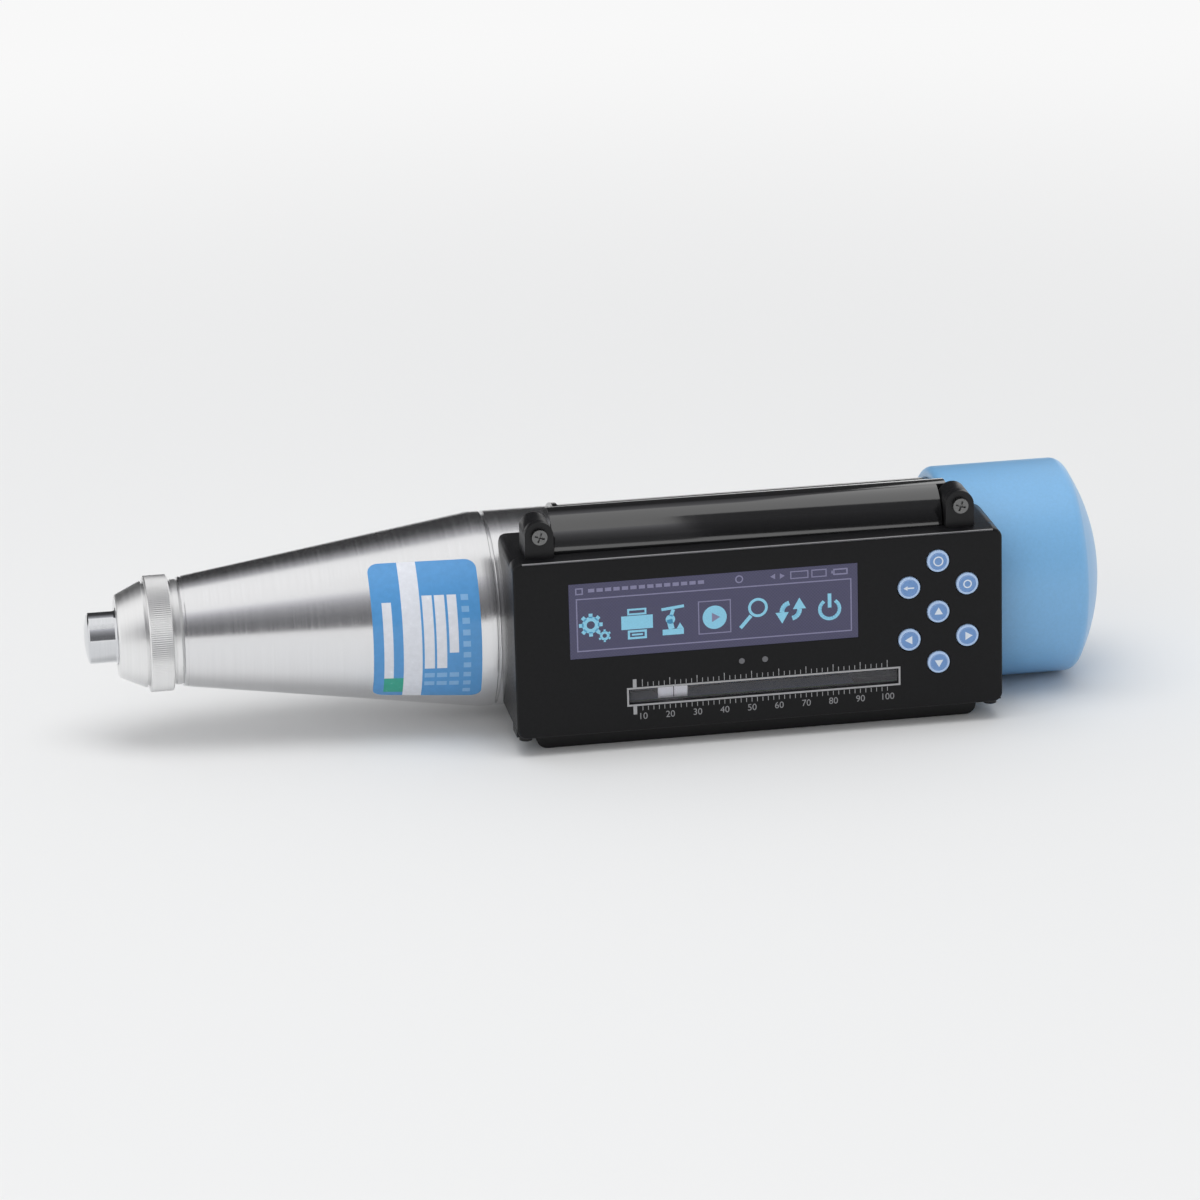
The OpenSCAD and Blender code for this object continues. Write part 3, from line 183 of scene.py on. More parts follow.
top_lamp = soft_lamp("top_lamp", (0.05, -0.15, 1.5), (1.6, 0.9), 10.5)
front_lamp = soft_lamp("front_lamp", (-0.9, -1.7, 1.0), (1.0, 1.0), 5.0)
print("lamps", top_lamp.data.energy, front_lamp.data.energy)

# %% Dark cards
CARD_TOP, COOL = 4.0, 1.05
UPRIGHT, LYING = (math.radians(90), 0, 0), (0, 0, 0)


def card_cloth(name, stops):
    """A dull cloth whose level changes with height, from pairs of height in metres and level."""
    cloth, tree, shader = new_finish(name)
    set_inputs(shader, Base_Color=(0.01, 0.01, 0.01, 1), Specular_IOR_Level=0.0,
               Emission_Strength=1.0)
    place = tree.nodes.new("ShaderNodeTexCoord")
    axes = tree.nodes.new("ShaderNodeSeparateXYZ")
    height = tree.nodes.new("ShaderNodeMapRange")
    set_inputs(height, From_Max=CARD_TOP)
    fade = tree.nodes.new("ShaderNodeValToRGB")
    steps = fade.color_ramp.elements
    steps[0].position, steps[1].position = stops[0][0] / CARD_TOP, stops[-1][0] / CARD_TOP
    for level_height, _ in stops[1:-1]:
        steps.new(level_height / CARD_TOP)
    for step, (_, level) in zip(steps, stops):
        step.color = (level, level, level * COOL, 1)
    tree.links.new(place.outputs["Object"], axes.inputs["Vector"])
    tree.links.new(axes.outputs["Z"], height.inputs["Value"])
    tree.links.new(height.outputs["Result"], fade.inputs["Fac"])
    tree.links.new(fade.outputs["Color"], shader.inputs["Emission Color"])
    return cloth


def dark_card(name, place, size, turned, cloth):
    """A dark card beside the light, seen only by reflections."""
    clear_selection()
    bpy.ops.mesh.primitive_plane_add(size=1, location=place, rotation=turned)
    card = bpy.context.object
    card.name = name
    card.scale = (size[0], size[1], 1)
    bpy.ops.object.transform_apply(location=True, rotation=True, scale=True)
    card.visible_camera = card.visible_diffuse = False
    card.visible_shadow = card.visible_transmission = False
    card.data.materials.append(cloth)
    print("card", name)


cone_cloth = card_cloth("cone_cloth", [
    (0.15, 0.15), (0.9, 0.17), (1.6, 0.30), (2.1, 0.42), (2.6, 0.62), (3.2, 0.85),
])
housing_cloth = card_cloth("housing_cloth", [(0.3, 0.05), (2.9, 0.14)])
back_cloth = card_cloth("back_cloth", [
    (0.2, 0.03), (1.6, 0.05), (2.4, 0.22), (3.2, 0.40), (3.9, 0.55),
])
dark_card("cone_card", (-1.575, -2.2, 1.675), (3.65, 3.05), UPRIGHT, cone_cloth)
dark_card("front_card", (1.925, -2.2, 1.62), (3.35, 2.7), UPRIGHT, housing_cloth)
dark_card("ceiling_card", (1.925, -1.40, 2.97), (3.35, 1.6), LYING, housing_cloth)
dark_card("back_card", (-0.76, 1.9, 2.0), (3.28, 4.0), UPRIGHT, back_cloth)

# %% [markdown]
# ## Finishes
# Each finish starts from one recipe: a fine noise on Object coordinates moves the colour a
# little, the roughness a little more, and lifts the surface by a bump. What differs is the
# size of the grain and its direction. Turned metal has rings about the axis, so its noise
# is stretched: very fine along X and long across it.

# %% The common recipe
NOISE_LOW, NOISE_HIGH = 0.3, 0.7


def grained(name, colour, rough, stretch, spread, tint=0.06, bump=0.15,
            metallic=0.0, depth=0.02, gloss=0.5):
    """A finish with grain: noise on Object coordinates moves colour, roughness and height.

    The colour varies by the share tint, the roughness by spread on either side of rough.
    The relief has the strength bump and is depth mm high.
    """
    made, tree, shader = new_finish(name)
    place = tree.nodes.new("ShaderNodeTexCoord")
    mapping = tree.nodes.new("ShaderNodeMapping")
    set_inputs(mapping, Scale=stretch)
    noise = tree.nodes.new("ShaderNodeTexNoise")
    set_inputs(noise, Scale=1.0, Detail=4.0, Roughness=0.6)
    tree.links.new(place.outputs["Object"], mapping.inputs["Vector"])
    tree.links.new(mapping.outputs["Vector"], noise.inputs["Vector"])
    ramp = tree.nodes.new("ShaderNodeValToRGB")
    dark, pale = ramp.color_ramp.elements
    dark.position, pale.position = NOISE_LOW, NOISE_HIGH
    dark.color = [c * (1 - tint) for c in colour] + [1]
    pale.color = [min(1, c * (1 + tint)) for c in colour] + [1]
    tree.links.new(noise.outputs["Fac"], ramp.inputs["Fac"])
    tree.links.new(ramp.outputs["Color"], shader.inputs["Base Color"])
    sheen = tree.nodes.new("ShaderNodeMapRange")
    set_inputs(sheen, From_Min=NOISE_LOW, From_Max=NOISE_HIGH,
               To_Min=rough - spread, To_Max=rough + spread)
    tree.links.new(noise.outputs["Fac"], sheen.inputs["Value"])
    tree.links.new(sheen.outputs["Result"], shader.inputs["Roughness"])
    lift = tree.nodes.new("ShaderNodeBump")
    set_inputs(lift, Strength=bump, Distance=depth * MM)
    tree.links.new(noise.outputs["Fac"], lift.inputs["Height"])
    tree.links.new(lift.outputs["Normal"], shader.inputs["Normal"])
    set_inputs(shader, Metallic=metallic, Specular_IOR_Level=gloss)
    return made


def metal(*recipe):
    """A grained finish that is metal."""
    return grained(*recipe, metallic=1.0)


def even(scale):
    """A grain of the same size along all three axes."""
    return (scale, scale, scale)


# %% Metals
RINGS = (2600, 26, 26)
GRAIN = even(1500)
turned_aluminium = metal("turned_aluminium", (0.80, 0.80, 0.81), 0.22, RINGS, 0.05, 0.03, 0.10)
satin_steel = metal("satin_steel", (0.88, 0.88, 0.88), 0.38, RINGS, 0.06, 0.03, 0.12)
ground_steel = metal("ground_steel", (0.70, 0.71, 0.73), 0.10, RINGS, 0.04, 0.04, 0.06)
spring_wire = metal("spring_wire", (0.42, 0.42, 0.44), 0.30, GRAIN, 0.08)
bearing_bronze = metal("bearing_bronze", (0.62, 0.49, 0.25), 0.28, RINGS, 0.06)
screw_zinc = metal("screw_zinc", (0.72, 0.72, 0.71), 0.22, GRAIN, 0.08, 0.08)
dark_screw = metal("dark_screw", (0.18, 0.18, 0.18), 0.30, GRAIN, 0.08, 0.10)
# A paler metal for the plate's top rim: a painted highlight where light from above falls
bright_edge = metal("bright_edge", (0.34, 0.34, 0.35), 0.32, GRAIN, 0.05, 0.05, 0.05)
print("metals", turned_aluminium.name, satin_steel.name, ground_steel.name)

# %% Plastics and coats
STREAKS = (500, 120, 120)
KEY_GRAIN = even(2200)
black_coat = grained("black_coat", (0.004, 0.004, 0.0045), 0.20, STREAKS, 0.03, 0.08, 0.04,
                     gloss=1.0)
hood_black = grained("hood_black", (0.004, 0.004, 0.0045), 0.11, STREAKS, 0.02, 0.08, 0.03,
                     gloss=1.0)
moulded_black = grained("moulded_black", (0.008, 0.008, 0.009), 0.36, GRAIN, 0.06, 0.20, 0.18,
                        gloss=0.30)
panel_black = grained("panel_black", (0.0075, 0.0075, 0.0082), 0.42, GRAIN, 0.05, 0.15, 0.10,
                      gloss=0.18)
moulded_blue = grained("moulded_blue", (0.175, 0.425, 0.72), 0.40, even(1100), 0.05, 0.04, 0.16)
key_rim_blue = grained("key_rim_blue", (0.42, 0.57, 0.82), 0.34, KEY_GRAIN, 0.05, 0.04, 0.10)
key_face_blue = grained("key_face_blue", (0.15, 0.29, 0.57), 0.34, KEY_GRAIN, 0.05, 0.04, 0.10)
for finish, weight, rough in (
    (black_coat, 0.5, 0.12), (hood_black, 1.0, 0.10), (moulded_blue, 0.8, 0.45),
):
    set_inputs(finish.node_tree.nodes["Principled BSDF"], Coat_Weight=weight, Coat_Roughness=rough)
print("plastics", moulded_black.name, panel_black.name, moulded_blue.name)

# %% Felt, boards, sticker and print
PAPER_GRAIN = even(600)
PRINT_GRAIN = even(2500)
FINE_GRAIN = even(3000)
grey_felt = grained("grey_felt", (0.10, 0.095, 0.09), 0.95, FINE_GRAIN, 0.04, 0.4, 0.6, depth=0.2)
board_green = grained("board_green", (0.02, 0.11, 0.045), 0.42, even(700), 0.08, 0.2)
module_grey = grained("module_grey", (0.035, 0.035, 0.04), 0.45, GRAIN, 0.06)
cell_wrap = grained("cell_wrap", (0.05, 0.10, 0.22), 0.35, even(400), 0.06)
sticker_blue = grained("sticker_blue", (0.085, 0.30, 0.62), 0.20, PAPER_GRAIN, 0.04, 0.05, 0.05)
sticker_white = grained("sticker_white", (0.72, 0.74, 0.80), 0.24, PAPER_GRAIN, 0.04, 0.05, 0.05)
sticker_pale = grained("sticker_pale", (0.22, 0.44, 0.72), 0.22, PAPER_GRAIN, 0.04, 0.05, 0.05)
sticker_green = grained("sticker_green", (0.03, 0.36, 0.26), 0.24, PAPER_GRAIN, 0.04, 0.05, 0.05)
key_white = grained("key_white", (0.70, 0.76, 0.84), 0.45, PRINT_GRAIN, 0.05, 0.05, 0.05)
print_white = grained("print_white", (0.36, 0.36, 0.37), 0.55, PRINT_GRAIN, 0.05, 0.10, 0.10)
print_grey = grained("print_grey", (0.25, 0.25, 0.26), 0.55, PRINT_GRAIN, 0.05, 0.10, 0.10)
print_dark = grained("print_dark", (0.015, 0.015, 0.017), 0.5, PRINT_GRAIN, 0.05, 0.2, 0.10)
lamp_clear = grained("lamp_clear", (0.13, 0.13, 0.14), 0.18, even(1800), 0.05)
screen_cyan = grained("screen_cyan", (0.19, 0.45, 0.60), 0.3, FINE_GRAIN, 0.03, 0.10, 0.02)
screen_lilac = grained("screen_lilac", (0.17, 0.165, 0.27), 0.3, FINE_GRAIN, 0.03, 0.10, 0.02)
for finish, colour, level in (
    (screen_cyan, (0.25, 0.61, 0.80, 1), 0.20), (screen_lilac, (0.35, 0.33, 0.55, 1), 0.10),
):
    set_inputs(finish.node_tree.nodes["Principled BSDF"], Emission_Color=colour,
               Emission_Strength=level)
print("print", print_white.name, print_grey.name, "screen", screen_cyan.name, screen_lilac.name)

# %% [markdown]
# ## The display's glass and the clear strip
# The display is a lit liquid-crystal screen behind glass: a grey violet field made of tiny
# dots. A checker of dot size stands for them, and a clear coat gives the glass its gloss.
# The strip over the scale is plain clear sheet, so light passes through it.

# %% Display and clear sheet
display_field, tree, shader = new_finish("display_field")
place = tree.nodes.new("ShaderNodeTexCoord")
dots = tree.nodes.new("ShaderNodeTexChecker")
set_inputs(dots, Scale=2200, Color1=(0.024, 0.023, 0.066, 1), Color2=(0.032, 0.030, 0.084, 1))
tree.links.new(place.outputs["Object"], dots.inputs["Vector"])
tree.links.new(dots.outputs["Color"], shader.inputs["Base Color"])
tree.links.new(dots.outputs["Color"], shader.inputs["Emission Color"])
set_inputs(shader, Emission_Strength=0.25, Roughness=0.25, Coat_Weight=0.6, Coat_Roughness=0.05)
clear_sheet, tree, shader = new_finish("clear_sheet")
place = tree.nodes.new("ShaderNodeTexCoord")
haze = tree.nodes.new("ShaderNodeTexNoise")
set_inputs(haze, Scale=900)
blur = tree.nodes.new("ShaderNodeMapRange")
set_inputs(blur, To_Min=0.01, To_Max=0.05)
tree.links.new(place.outputs["Object"], haze.inputs["Vector"])
tree.links.new(haze.outputs["Fac"], blur.inputs["Value"])
tree.links.new(blur.outputs["Result"], shader.inputs["Roughness"])
set_inputs(shader, Base_Color=(0.86, 0.86, 0.90, 1), Transmission_Weight=0.95, IOR=1.2)
print("display", display_field.name, "sheet", clear_sheet.name)

# %% [markdown]
# ## Finishes on the solids
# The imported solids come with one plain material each, named after its slot in the record.
# Swapping the material in the object's slot keeps the mesh as it is, which it has to be.

# %% Swap the plain materials
finish_of_slot = {
    "steel": ground_steel, "spring_steel": spring_wire, "bare_metal": turned_aluminium,
    "satin_metal": satin_steel, "black_coat": black_coat, "black_plastic": moulded_black,
    "black_panel": panel_black, "blue_plastic": moulded_blue, "clear_sheet": clear_sheet,
    "bearing_brass": bearing_bronze, "felt": grey_felt, "board_green": board_green,
    "dark_module": module_grey, "cell_wrap": cell_wrap, "sticker": sticker_blue,
    "lamp_clear": lamp_clear,
}
finish_of_node = {
    "display_glass": display_field, "top_hood": hood_black, "cover_screws": screw_zinc,
    "ear_screws": dark_screw, "corner_screws": moulded_black,
}
for name, solid in nodes.items():
    slot = solid.material_slots[0]
    slot.material = finish_of_node.get(name, finish_of_slot[slot.material.name.split(".")[0]])
print("finishes on", len(nodes), "solids")

# %% [markdown]
# ## Rounded edges on the housing
# A moulding has no knife edges: each one is rounded, and the round catches a line of light.
# The solids' triangles are welded, their flat faces are joined, and a bevel rounds what is
# left sharp. The modifiers stay live, so the mesh of the solid isn't touched.

# %% Live rounding
WELD_REACH = 0.002 * MM
FLAT_ANGLE, SHARP_ANGLE = math.radians(0.4), math.radians(35)
EDGE_ROUNDS = {
    "front_case": 0.35, "saddle_case": 0.35, "top_hood": 0.5, "base_cover": 0.35,
    "ear_screws": 0.12, "corner_screws": 0.12, "cover_screws": 0.12, "pointer_rider": 0.12,
}


def soften(solid, width):
    """Rounds the sharp edges of a solid with live modifiers."""
    weld = solid.modifiers.new("weld", "WELD")
    weld.merge_threshold = WELD_REACH
    flat = solid.modifiers.new("flat", "DECIMATE")
    flat.decimate_type = "DISSOLVE"
    flat.angle_limit = FLAT_ANGLE
    bevel = solid.modifiers.new("round", "BEVEL")
    bevel.width = width * MM
    bevel.segments = 3
    bevel.limit_method = "ANGLE"
    bevel.angle_limit = SHARP_ANGLE
    bevel.use_clamp_overlap = True
    bevel.harden_normals = True


for name, width in EDGE_ROUNDS.items():
    soften(nodes[name], width)
print("rounded", len(EDGE_ROUNDS), "solids")

# %% [markdown]
# ## Turned pieces
# Nose, cone, plunger and cap are lathe work, and Blender's spin is a lathe: a profile is drawn
# point by point with extrude, and spun about the axis. The alternative, a stack of cylinders,
# would leave no place for the chamfers and grooves that make turned metal sparkle.


# %% The lathe
def turn(name, profile, steps, along="X", centre=(0, 0)):
    """A piece turned from pairs of station and radius in mm, about X or about a line along Y."""

    def point(pair):
        if along == "X":
            return Vector((pair[0], 0, pair[1])) * MM
        return Vector((centre[0] + pair[1], pair[0], centre[1])) * MM

    clear_selection()
    bpy.ops.mesh.primitive_plane_add(size=MM, location=(0, 0, 0))
    piece = bpy.context.object
    piece.name = piece.data.name = name
    bpy.ops.object.mode_set(mode="EDIT")
    bpy.ops.mesh.select_mode(type="VERT")
    bpy.ops.mesh.select_all(action="SELECT")
    bpy.ops.mesh.merge(type="CENTER")
    bpy.ops.transform.translate(value=point(profile[0]))
    for start, end in zip(profile, profile[1:]):
        step = point(end) - point(start)
        bpy.ops.mesh.extrude_region_move(TRANSFORM_OT_translate={"value": step})
    bpy.ops.mesh.select_all(action="SELECT")
    axis = (1, 0, 0) if along == "X" else (0, 1, 0)
    middle = Vector((centre[0], 0, centre[1])) * MM
    bpy.ops.mesh.spin(steps=steps, angle=2 * math.pi, center=middle, axis=axis)
    bpy.ops.mesh.select_all(action="SELECT")
    bpy.ops.mesh.remove_doubles(threshold=WELD_REACH)
    bpy.ops.mesh.normals_make_consistent(inside=False)
    bpy.ops.object.mode_set(mode="OBJECT")
    return piece


def arc(centre, radius, start, end, count):
    """Points of an arc in the profile plane, angles in degrees from the axis."""
    steps = [math.radians(start + (end - start) * i / count) for i in range(count + 1)]
    return [(centre[0] + radius * math.cos(a), centre[1] + radius * math.sin(a)) for a in steps]


def activate(piece):
    """Makes a piece the only selected one and the active one."""
    clear_selection()
    piece.select_set(True)
    bpy.context.view_layer.objects.active = piece


def settle(piece, body, finish, smooth=32):
    """Puts a piece's place into its mesh, adds its finish and lets it ride on a body.

    A piece that already has its finishes comes with None. Edges up to smooth degrees are smooth.
    """
    activate(piece)
    bpy.ops.object.transform_apply(location=True, rotation=True, scale=True)
    bpy.ops.object.shade_smooth_by_angle(angle=math.radians(smooth))
    if finish:
        piece.data.materials.clear()
        piece.data.materials.append(finish)
    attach(piece, body)
    print(piece.name, len(piece.data.polygons), "faces on", body)


# %% Cone
cone_profile = [
    (12.8, 10.0), (12.8, 11.9), (21.8, 11.9), (21.8, 14.75), (22.05, 15.0), (22.6, 15.05),
    (22.6, 14.85), (22.95, 14.85), (22.95, 15.15), (102.3, 26.8), (105.65, 26.8), (105.8, 26.6),
    (105.8, 25.8), (106.6, 25.8), (106.6, 26.6), (106.75, 26.8), (124.9, 26.8), (125.8, 26.3),
    (125.8, 24.9), (134.8, 24.9), (134.8, 20.2), (76.2, 20.2), (76.2, 13.8), (34.7, 13.8),
    (34.7, 10.0), (12.8, 10.0),
]
cone_shell = turn("cone_shell", cone_profile, steps=220)
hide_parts("front_barrel")
settle(cone_shell, "casing", turned_aluminium, smooth=12)

# %% Plunger
TIP_ROUND, TIP_RIM, TIP_CENTRE = 25.0, 6.5, 20.8
tip_angle = math.degrees(math.asin(TIP_RIM / TIP_ROUND))
plunger_profile = arc((TIP_CENTRE, 0), TIP_ROUND, 180, 180 - tip_angle, 10) + [
    (-2.95, 7.0), (3.9, 7.0), (4.2, 7.2), (4.45, 7.5), (91.4, 7.5), (91.8, 7.1), (91.8, 4.3),
    (41.8, 4.3), (41.8, 0),
]
plunger_rod = turn("plunger_rod", plunger_profile, steps=128)
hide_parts("plunger")
settle(plunger_rod, "striker", ground_steel, smooth=24)

# %% Nose
nose_profile = [
    (4.6, 7.8), (4.6, 10.9), (4.8, 11.25), (5.1, 11.5), (11.6, 14.5), (11.9, 14.5), (11.9, 13.9),
    (12.6, 13.9), (12.6, 15.3), (19.2, 15.3), (19.2, 14.0), (19.9, 14.0), (19.9, 14.35),
    (21.3, 14.4), (21.8, 14.1), (21.8, 12.0), (10.6, 12.0), (10.6, 10.4), (7.8, 10.4), (7.8, 7.8),
    (4.6, 7.8),
]
nose_body = turn("nose_body", nose_profile, steps=160)
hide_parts("nose_cap")
settle(nose_body, "casing", satin_steel, smooth=24)

# %% [markdown]
# ## The grip ring
# The raised ring of the nose is knurled so that it can be unscrewed by hand. A knurling wheel
# presses hundreds of fine ridges. A turned ring with many sides gets them when every other line
# of its outer face is drawn in a little; chamfers in the profile break its two rims.

# %% Grip ring
RIDGES, RIDGE_FOOT_R, VALLEY_SCALE = 170, 15.8, 0.993
ring_profile = [
    (12.7, 15.2), (12.7, 15.55), (12.95, 15.9), (18.85, 15.9), (19.1, 15.55), (19.1, 15.2),
    (12.7, 15.2),
]


def pick(piece, test):
    """Goes into edit mode with the vertices selected that pass a test."""
    activate(piece)
    bpy.ops.object.mode_set(mode="EDIT")
    bpy.ops.mesh.select_mode(type="VERT")
    bpy.ops.mesh.select_all(action="DESELECT")
    bpy.ops.object.mode_set(mode="OBJECT")
    for vertex in piece.data.vertices:
        vertex.select = test(vertex.co)
    bpy.ops.object.mode_set(mode="EDIT")


def valley(co):
    """True on every other line of the ring's outer face."""
    step = round(math.atan2(co.y, co.z) / (math.pi / RIDGES))
    return math.hypot(co.y, co.z) > RIDGE_FOOT_R * MM and step % 2 == 0


grip_ring = turn("grip_ring", ring_profile, steps=2 * RIDGES)
pick(grip_ring, valley)
bpy.ops.transform.resize(value=(1, VALLEY_SCALE, VALLEY_SCALE), center_override=(0, 0, 0))
bpy.ops.object.mode_set(mode="OBJECT")
settle(grip_ring, "casing", satin_steel, smooth=20)

# %% [markdown]
# ## The rear cap
# The blue cap is a moulded hood over the rear of the barrel: a straight skirt, a rounded
# shoulder and a shallow dome. Its profile is closed on the inside too, so that it is a real
# wall where it is seen from below.

# %% Rear cap
DOME_R, CAP_R, CAP_END, CAP_WALL, CAP_BORE_R = 55.0, 29.8, 268.8, 2.4, 22.2
dome_centre = (CAP_END - math.sqrt(DOME_R ** 2 - CAP_R ** 2), 0)
inner_r = DOME_R - CAP_WALL
inner_angle = math.degrees(math.asin(CAP_BORE_R / inner_r))
rim = arc((234.0, 27.6), 2.2, 180, 90, 8)
shoulder = arc((267.16, 26.8), 3.0, 90, 32.8, 8)
outer_dome = arc(dome_centre, DOME_R, 30.6, 0, 24)
inner_dome = arc(dome_centre, inner_r, 0, inner_angle, 12)
cap_profile = [(231.8, 27.0)] + rim + shoulder + outer_dome + inner_dome + [
    (270.3, CAP_BORE_R), (270.3, 24.6), (261.9, 24.6), (261.9, 27.0), (231.8, 27.0),
]
cap_shell = turn("cap_shell", cap_profile, steps=200)
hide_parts("rear_cap")
settle(cap_shell, "casing", moulded_blue, smooth=40)

# %% [markdown]
# ## The face plate
# The black plate on the front carries the display, the scale and the keys. It starts as a
# block of its size. Bevels round its corners and then its front rim, whose line of light is
# what the eye reads as the edge of the housing; along the top, that line is a painted
# highlight, a paler metal on the rim's faces. Boolean cutters then open the window, the
# slot, the key holes and the two lamp holes, as a milling machine would.


# %% Blocks and cutters
def block(name, *spans):
    """A cube primitive between two stations in mm along each axis."""
    clear_selection()
    bpy.ops.mesh.primitive_cube_add(size=1, location=[(a + b) / 2 * MM for a, b in spans])
    made = bpy.context.object
    made.name = made.data.name = name
    made.scale = [(b - a) * MM for a, b in spans]
    bpy.ops.object.transform_apply(location=True, rotation=True, scale=True)
    return made


def round_bar(name, x, z, radius, span, sides=64):
    """A cylinder primitive along Y, in mm."""
    clear_selection()
    bpy.ops.mesh.primitive_cylinder_add(
        vertices=sides, radius=radius * MM, depth=(span[1] - span[0]) * MM,
        location=(x * MM, (span[0] + span[1]) / 2 * MM, z * MM), rotation=(math.pi / 2, 0, 0))
    made = bpy.context.object
    made.name = made.data.name = name
    bpy.ops.object.transform_apply(location=True, rotation=True, scale=True)
    return made


def use_modifier(piece, kind, **settings):
    """Adds a modifier with its settings and applies it."""
    activate(piece)
    step = piece.modifiers.new(kind.lower(), kind)
    for key, value in settings.items():
        setattr(step, key, value)
    bpy.ops.object.modifier_apply(modifier=step.name)


def cut_out(piece, cutter):
    """Takes a cutter's shape out of a piece and removes the cutter."""
    use_modifier(piece, "BOOLEAN", operation="DIFFERENCE", object=cutter, solver="EXACT")
    bpy.data.objects.remove(cutter)


def bevel_edges(piece, test, width, segments):
    """Bevels the edges whose two ends pass a test."""
    activate(piece)
    bpy.ops.object.mode_set(mode="EDIT")
    bpy.ops.mesh.select_mode(type="EDGE")
    bpy.ops.mesh.select_all(action="DESELECT")
    bpy.ops.object.mode_set(mode="OBJECT")
    for edge in piece.data.edges:
        edge.select = test(*(piece.data.vertices[i].co for i in edge.vertices))
    bpy.ops.object.mode_set(mode="EDIT")
    bpy.ops.mesh.bevel(offset=width * MM, segments=segments, affect="EDGES")
    bpy.ops.object.mode_set(mode="OBJECT")


# %% Face plate
FACE_Y, PLATE_Y, CUT_Y = -41.0, -40.0, (-42, -39)
X0, X1, Z0, Z1 = 108.2, 242.2, -24.75, 24.75
CORNER_R, RIM_R = 2.6, 0.75
WINDOW_X, WINDOW_Z = (123.0, 202.2), (-3.15, 18.15)
SLOT_X, SLOT_Z = (138.8, 213.1), (-17.1, -12.9)
LAMPS_X, LAMPS_Z, LAMP_HOLE_R = (169.9, 176.3), -7.2, 0.85
KEY_X, KEY_Z, KEY_HOLE_R = 224.3, 2.5, 3.35
KEYS = {
    "key_top": (0, 14.4), "key_upper_left": (-8.05, 7.4), "key_upper_right": (8.05, 7.4),
    "key_middle": (0, 0), "key_lower_left": (-8.05, -7.4), "key_lower_right": (8.05, -7.4),
    "key_bottom": (0, -14.4),
}


def through_plate(a, b):
    """True on the four corner edges, which run from front to back."""
    return abs(a.y - b.y) > 0.5 * MM


def on_front(a, b):
    """True on the edges of the front face."""
    return max(a.y, b.y) < (FACE_Y + 0.01) * MM


face_plate = block("face_plate", (X0, X1), (FACE_Y, PLATE_Y), (Z0, Z1))
bevel_edges(face_plate, through_plate, CORNER_R, segments=8)
bevel_edges(face_plate, on_front, RIM_R, segments=4)
cut_out(face_plate, block("window_cutter", WINDOW_X, CUT_Y, WINDOW_Z))
cut_out(face_plate, block("slot_cutter", SLOT_X, CUT_Y, SLOT_Z))
for dx, dz in KEYS.values():
    cut_out(face_plate, round_bar("key_cutter", KEY_X + dx, KEY_Z + dz, KEY_HOLE_R, CUT_Y))
for x in LAMPS_X:
    cut_out(face_plate, round_bar("lamp_cutter", x, LAMPS_Z, LAMP_HOLE_R, CUT_Y, sides=32))
print("face plate", len(face_plate.data.polygons), "faces")

# %% Painted highlight on the plate's top edge
TOP_BAND, SLANT = 0.8, (0.2, 0.98)
face_plate.data.materials.clear()
for finish in (panel_black, bright_edge):
    face_plate.data.materials.append(finish)
# Rim faces along the top that face up and forward get the paler metal: a painted highlight, left
# off the sides and the bottom
for face in face_plate.data.polygons:
    at_top = face.center.z > (Z1 - TOP_BAND) * MM
    straight = (X0 + CORNER_R) * MM < face.center.x < (X1 - CORNER_R) * MM
    face.material_index = int(at_top and straight and SLANT[0] < -face.normal.y < SLANT[1])
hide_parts("face_panel")
settle(face_plate, "casing", None, smooth=30)

# %% [markdown]
# ## Print on the face
# Marks on such a face are screen printed: a film of white paint with a small but real
# thickness. Each mark is a flat outline that is thickened by 0.03 mm. One tick is modelled,
# and an Array modifier sets it along the scale, as a rule is divided.

# %% Flat shapes
FILM = 0.03


def thicken(piece):
    """Gives a flat outline in the face its thickness, towards the viewer."""
    activate(piece)
    bpy.ops.object.mode_set(mode="EDIT")
    bpy.ops.mesh.select_all(action="SELECT")
    bpy.ops.mesh.extrude_region_move(TRANSFORM_OT_translate={"value": (0, -FILM * MM, 0)})
    bpy.ops.mesh.select_all(action="SELECT")
    bpy.ops.mesh.normals_make_consistent(inside=False)
    bpy.ops.object.mode_set(mode="OBJECT")
    return piece


def hollow(piece, line):
    """Leaves only the rim of a flat face, line mm wide."""
    activate(piece)
    bpy.ops.object.mode_set(mode="EDIT")
    bpy.ops.mesh.select_mode(type="FACE")
    bpy.ops.mesh.select_all(action="SELECT")
    bpy.ops.mesh.inset(thickness=line * MM)
    bpy.ops.mesh.delete(type="FACE")
    bpy.ops.object.mode_set(mode="OBJECT")


def bar(x0, x1, z0, z1, y, tilt=0.0, line=0.0):
    """A printed bar, turned by tilt degrees; with a line width, only its outline."""
    clear_selection()
    bpy.ops.mesh.primitive_plane_add(
        size=1, location=((x0 + x1) / 2 * MM, y * MM, (z0 + z1) / 2 * MM),
        rotation=(math.pi / 2, math.radians(tilt), 0))
    made = bpy.context.object
    made.scale = ((x1 - x0) * MM, (z1 - z0) * MM, 1)
    bpy.ops.object.transform_apply(location=True, rotation=True, scale=True)
    if line:
        hollow(made, line)
    return thicken(made)


def disc(x, z, radius, y, sides=32, tilt=0.0, line=0.0):
    """A printed disc, or a triangle with three sides; with a line width, a ring."""
    clear_selection()
    bpy.ops.mesh.primitive_circle_add(
        vertices=sides, radius=radius * MM, fill_type="NGON", location=(x * MM, y * MM, z * MM),
        rotation=(math.pi / 2, math.radians(tilt), 0))
    made = bpy.context.object
    bpy.ops.object.transform_apply(location=True, rotation=True, scale=True)
    if line:
        hollow(made, line)
    return thicken(made)


def one_piece(name, parts):
    """Joins several shapes into one piece."""
    clear_selection()
    for part in parts:
        part.select_set(True)
    bpy.context.view_layer.objects.active = parts[0]
    if len(parts) > 1:
        bpy.ops.object.join()
    made = bpy.context.object
    made.name = made.data.name = name
    return made


# %% Scale
SCALE_0, PER_UNIT, FIRST_MARK, LAST_MARK = 135.0, 0.75, 10, 100


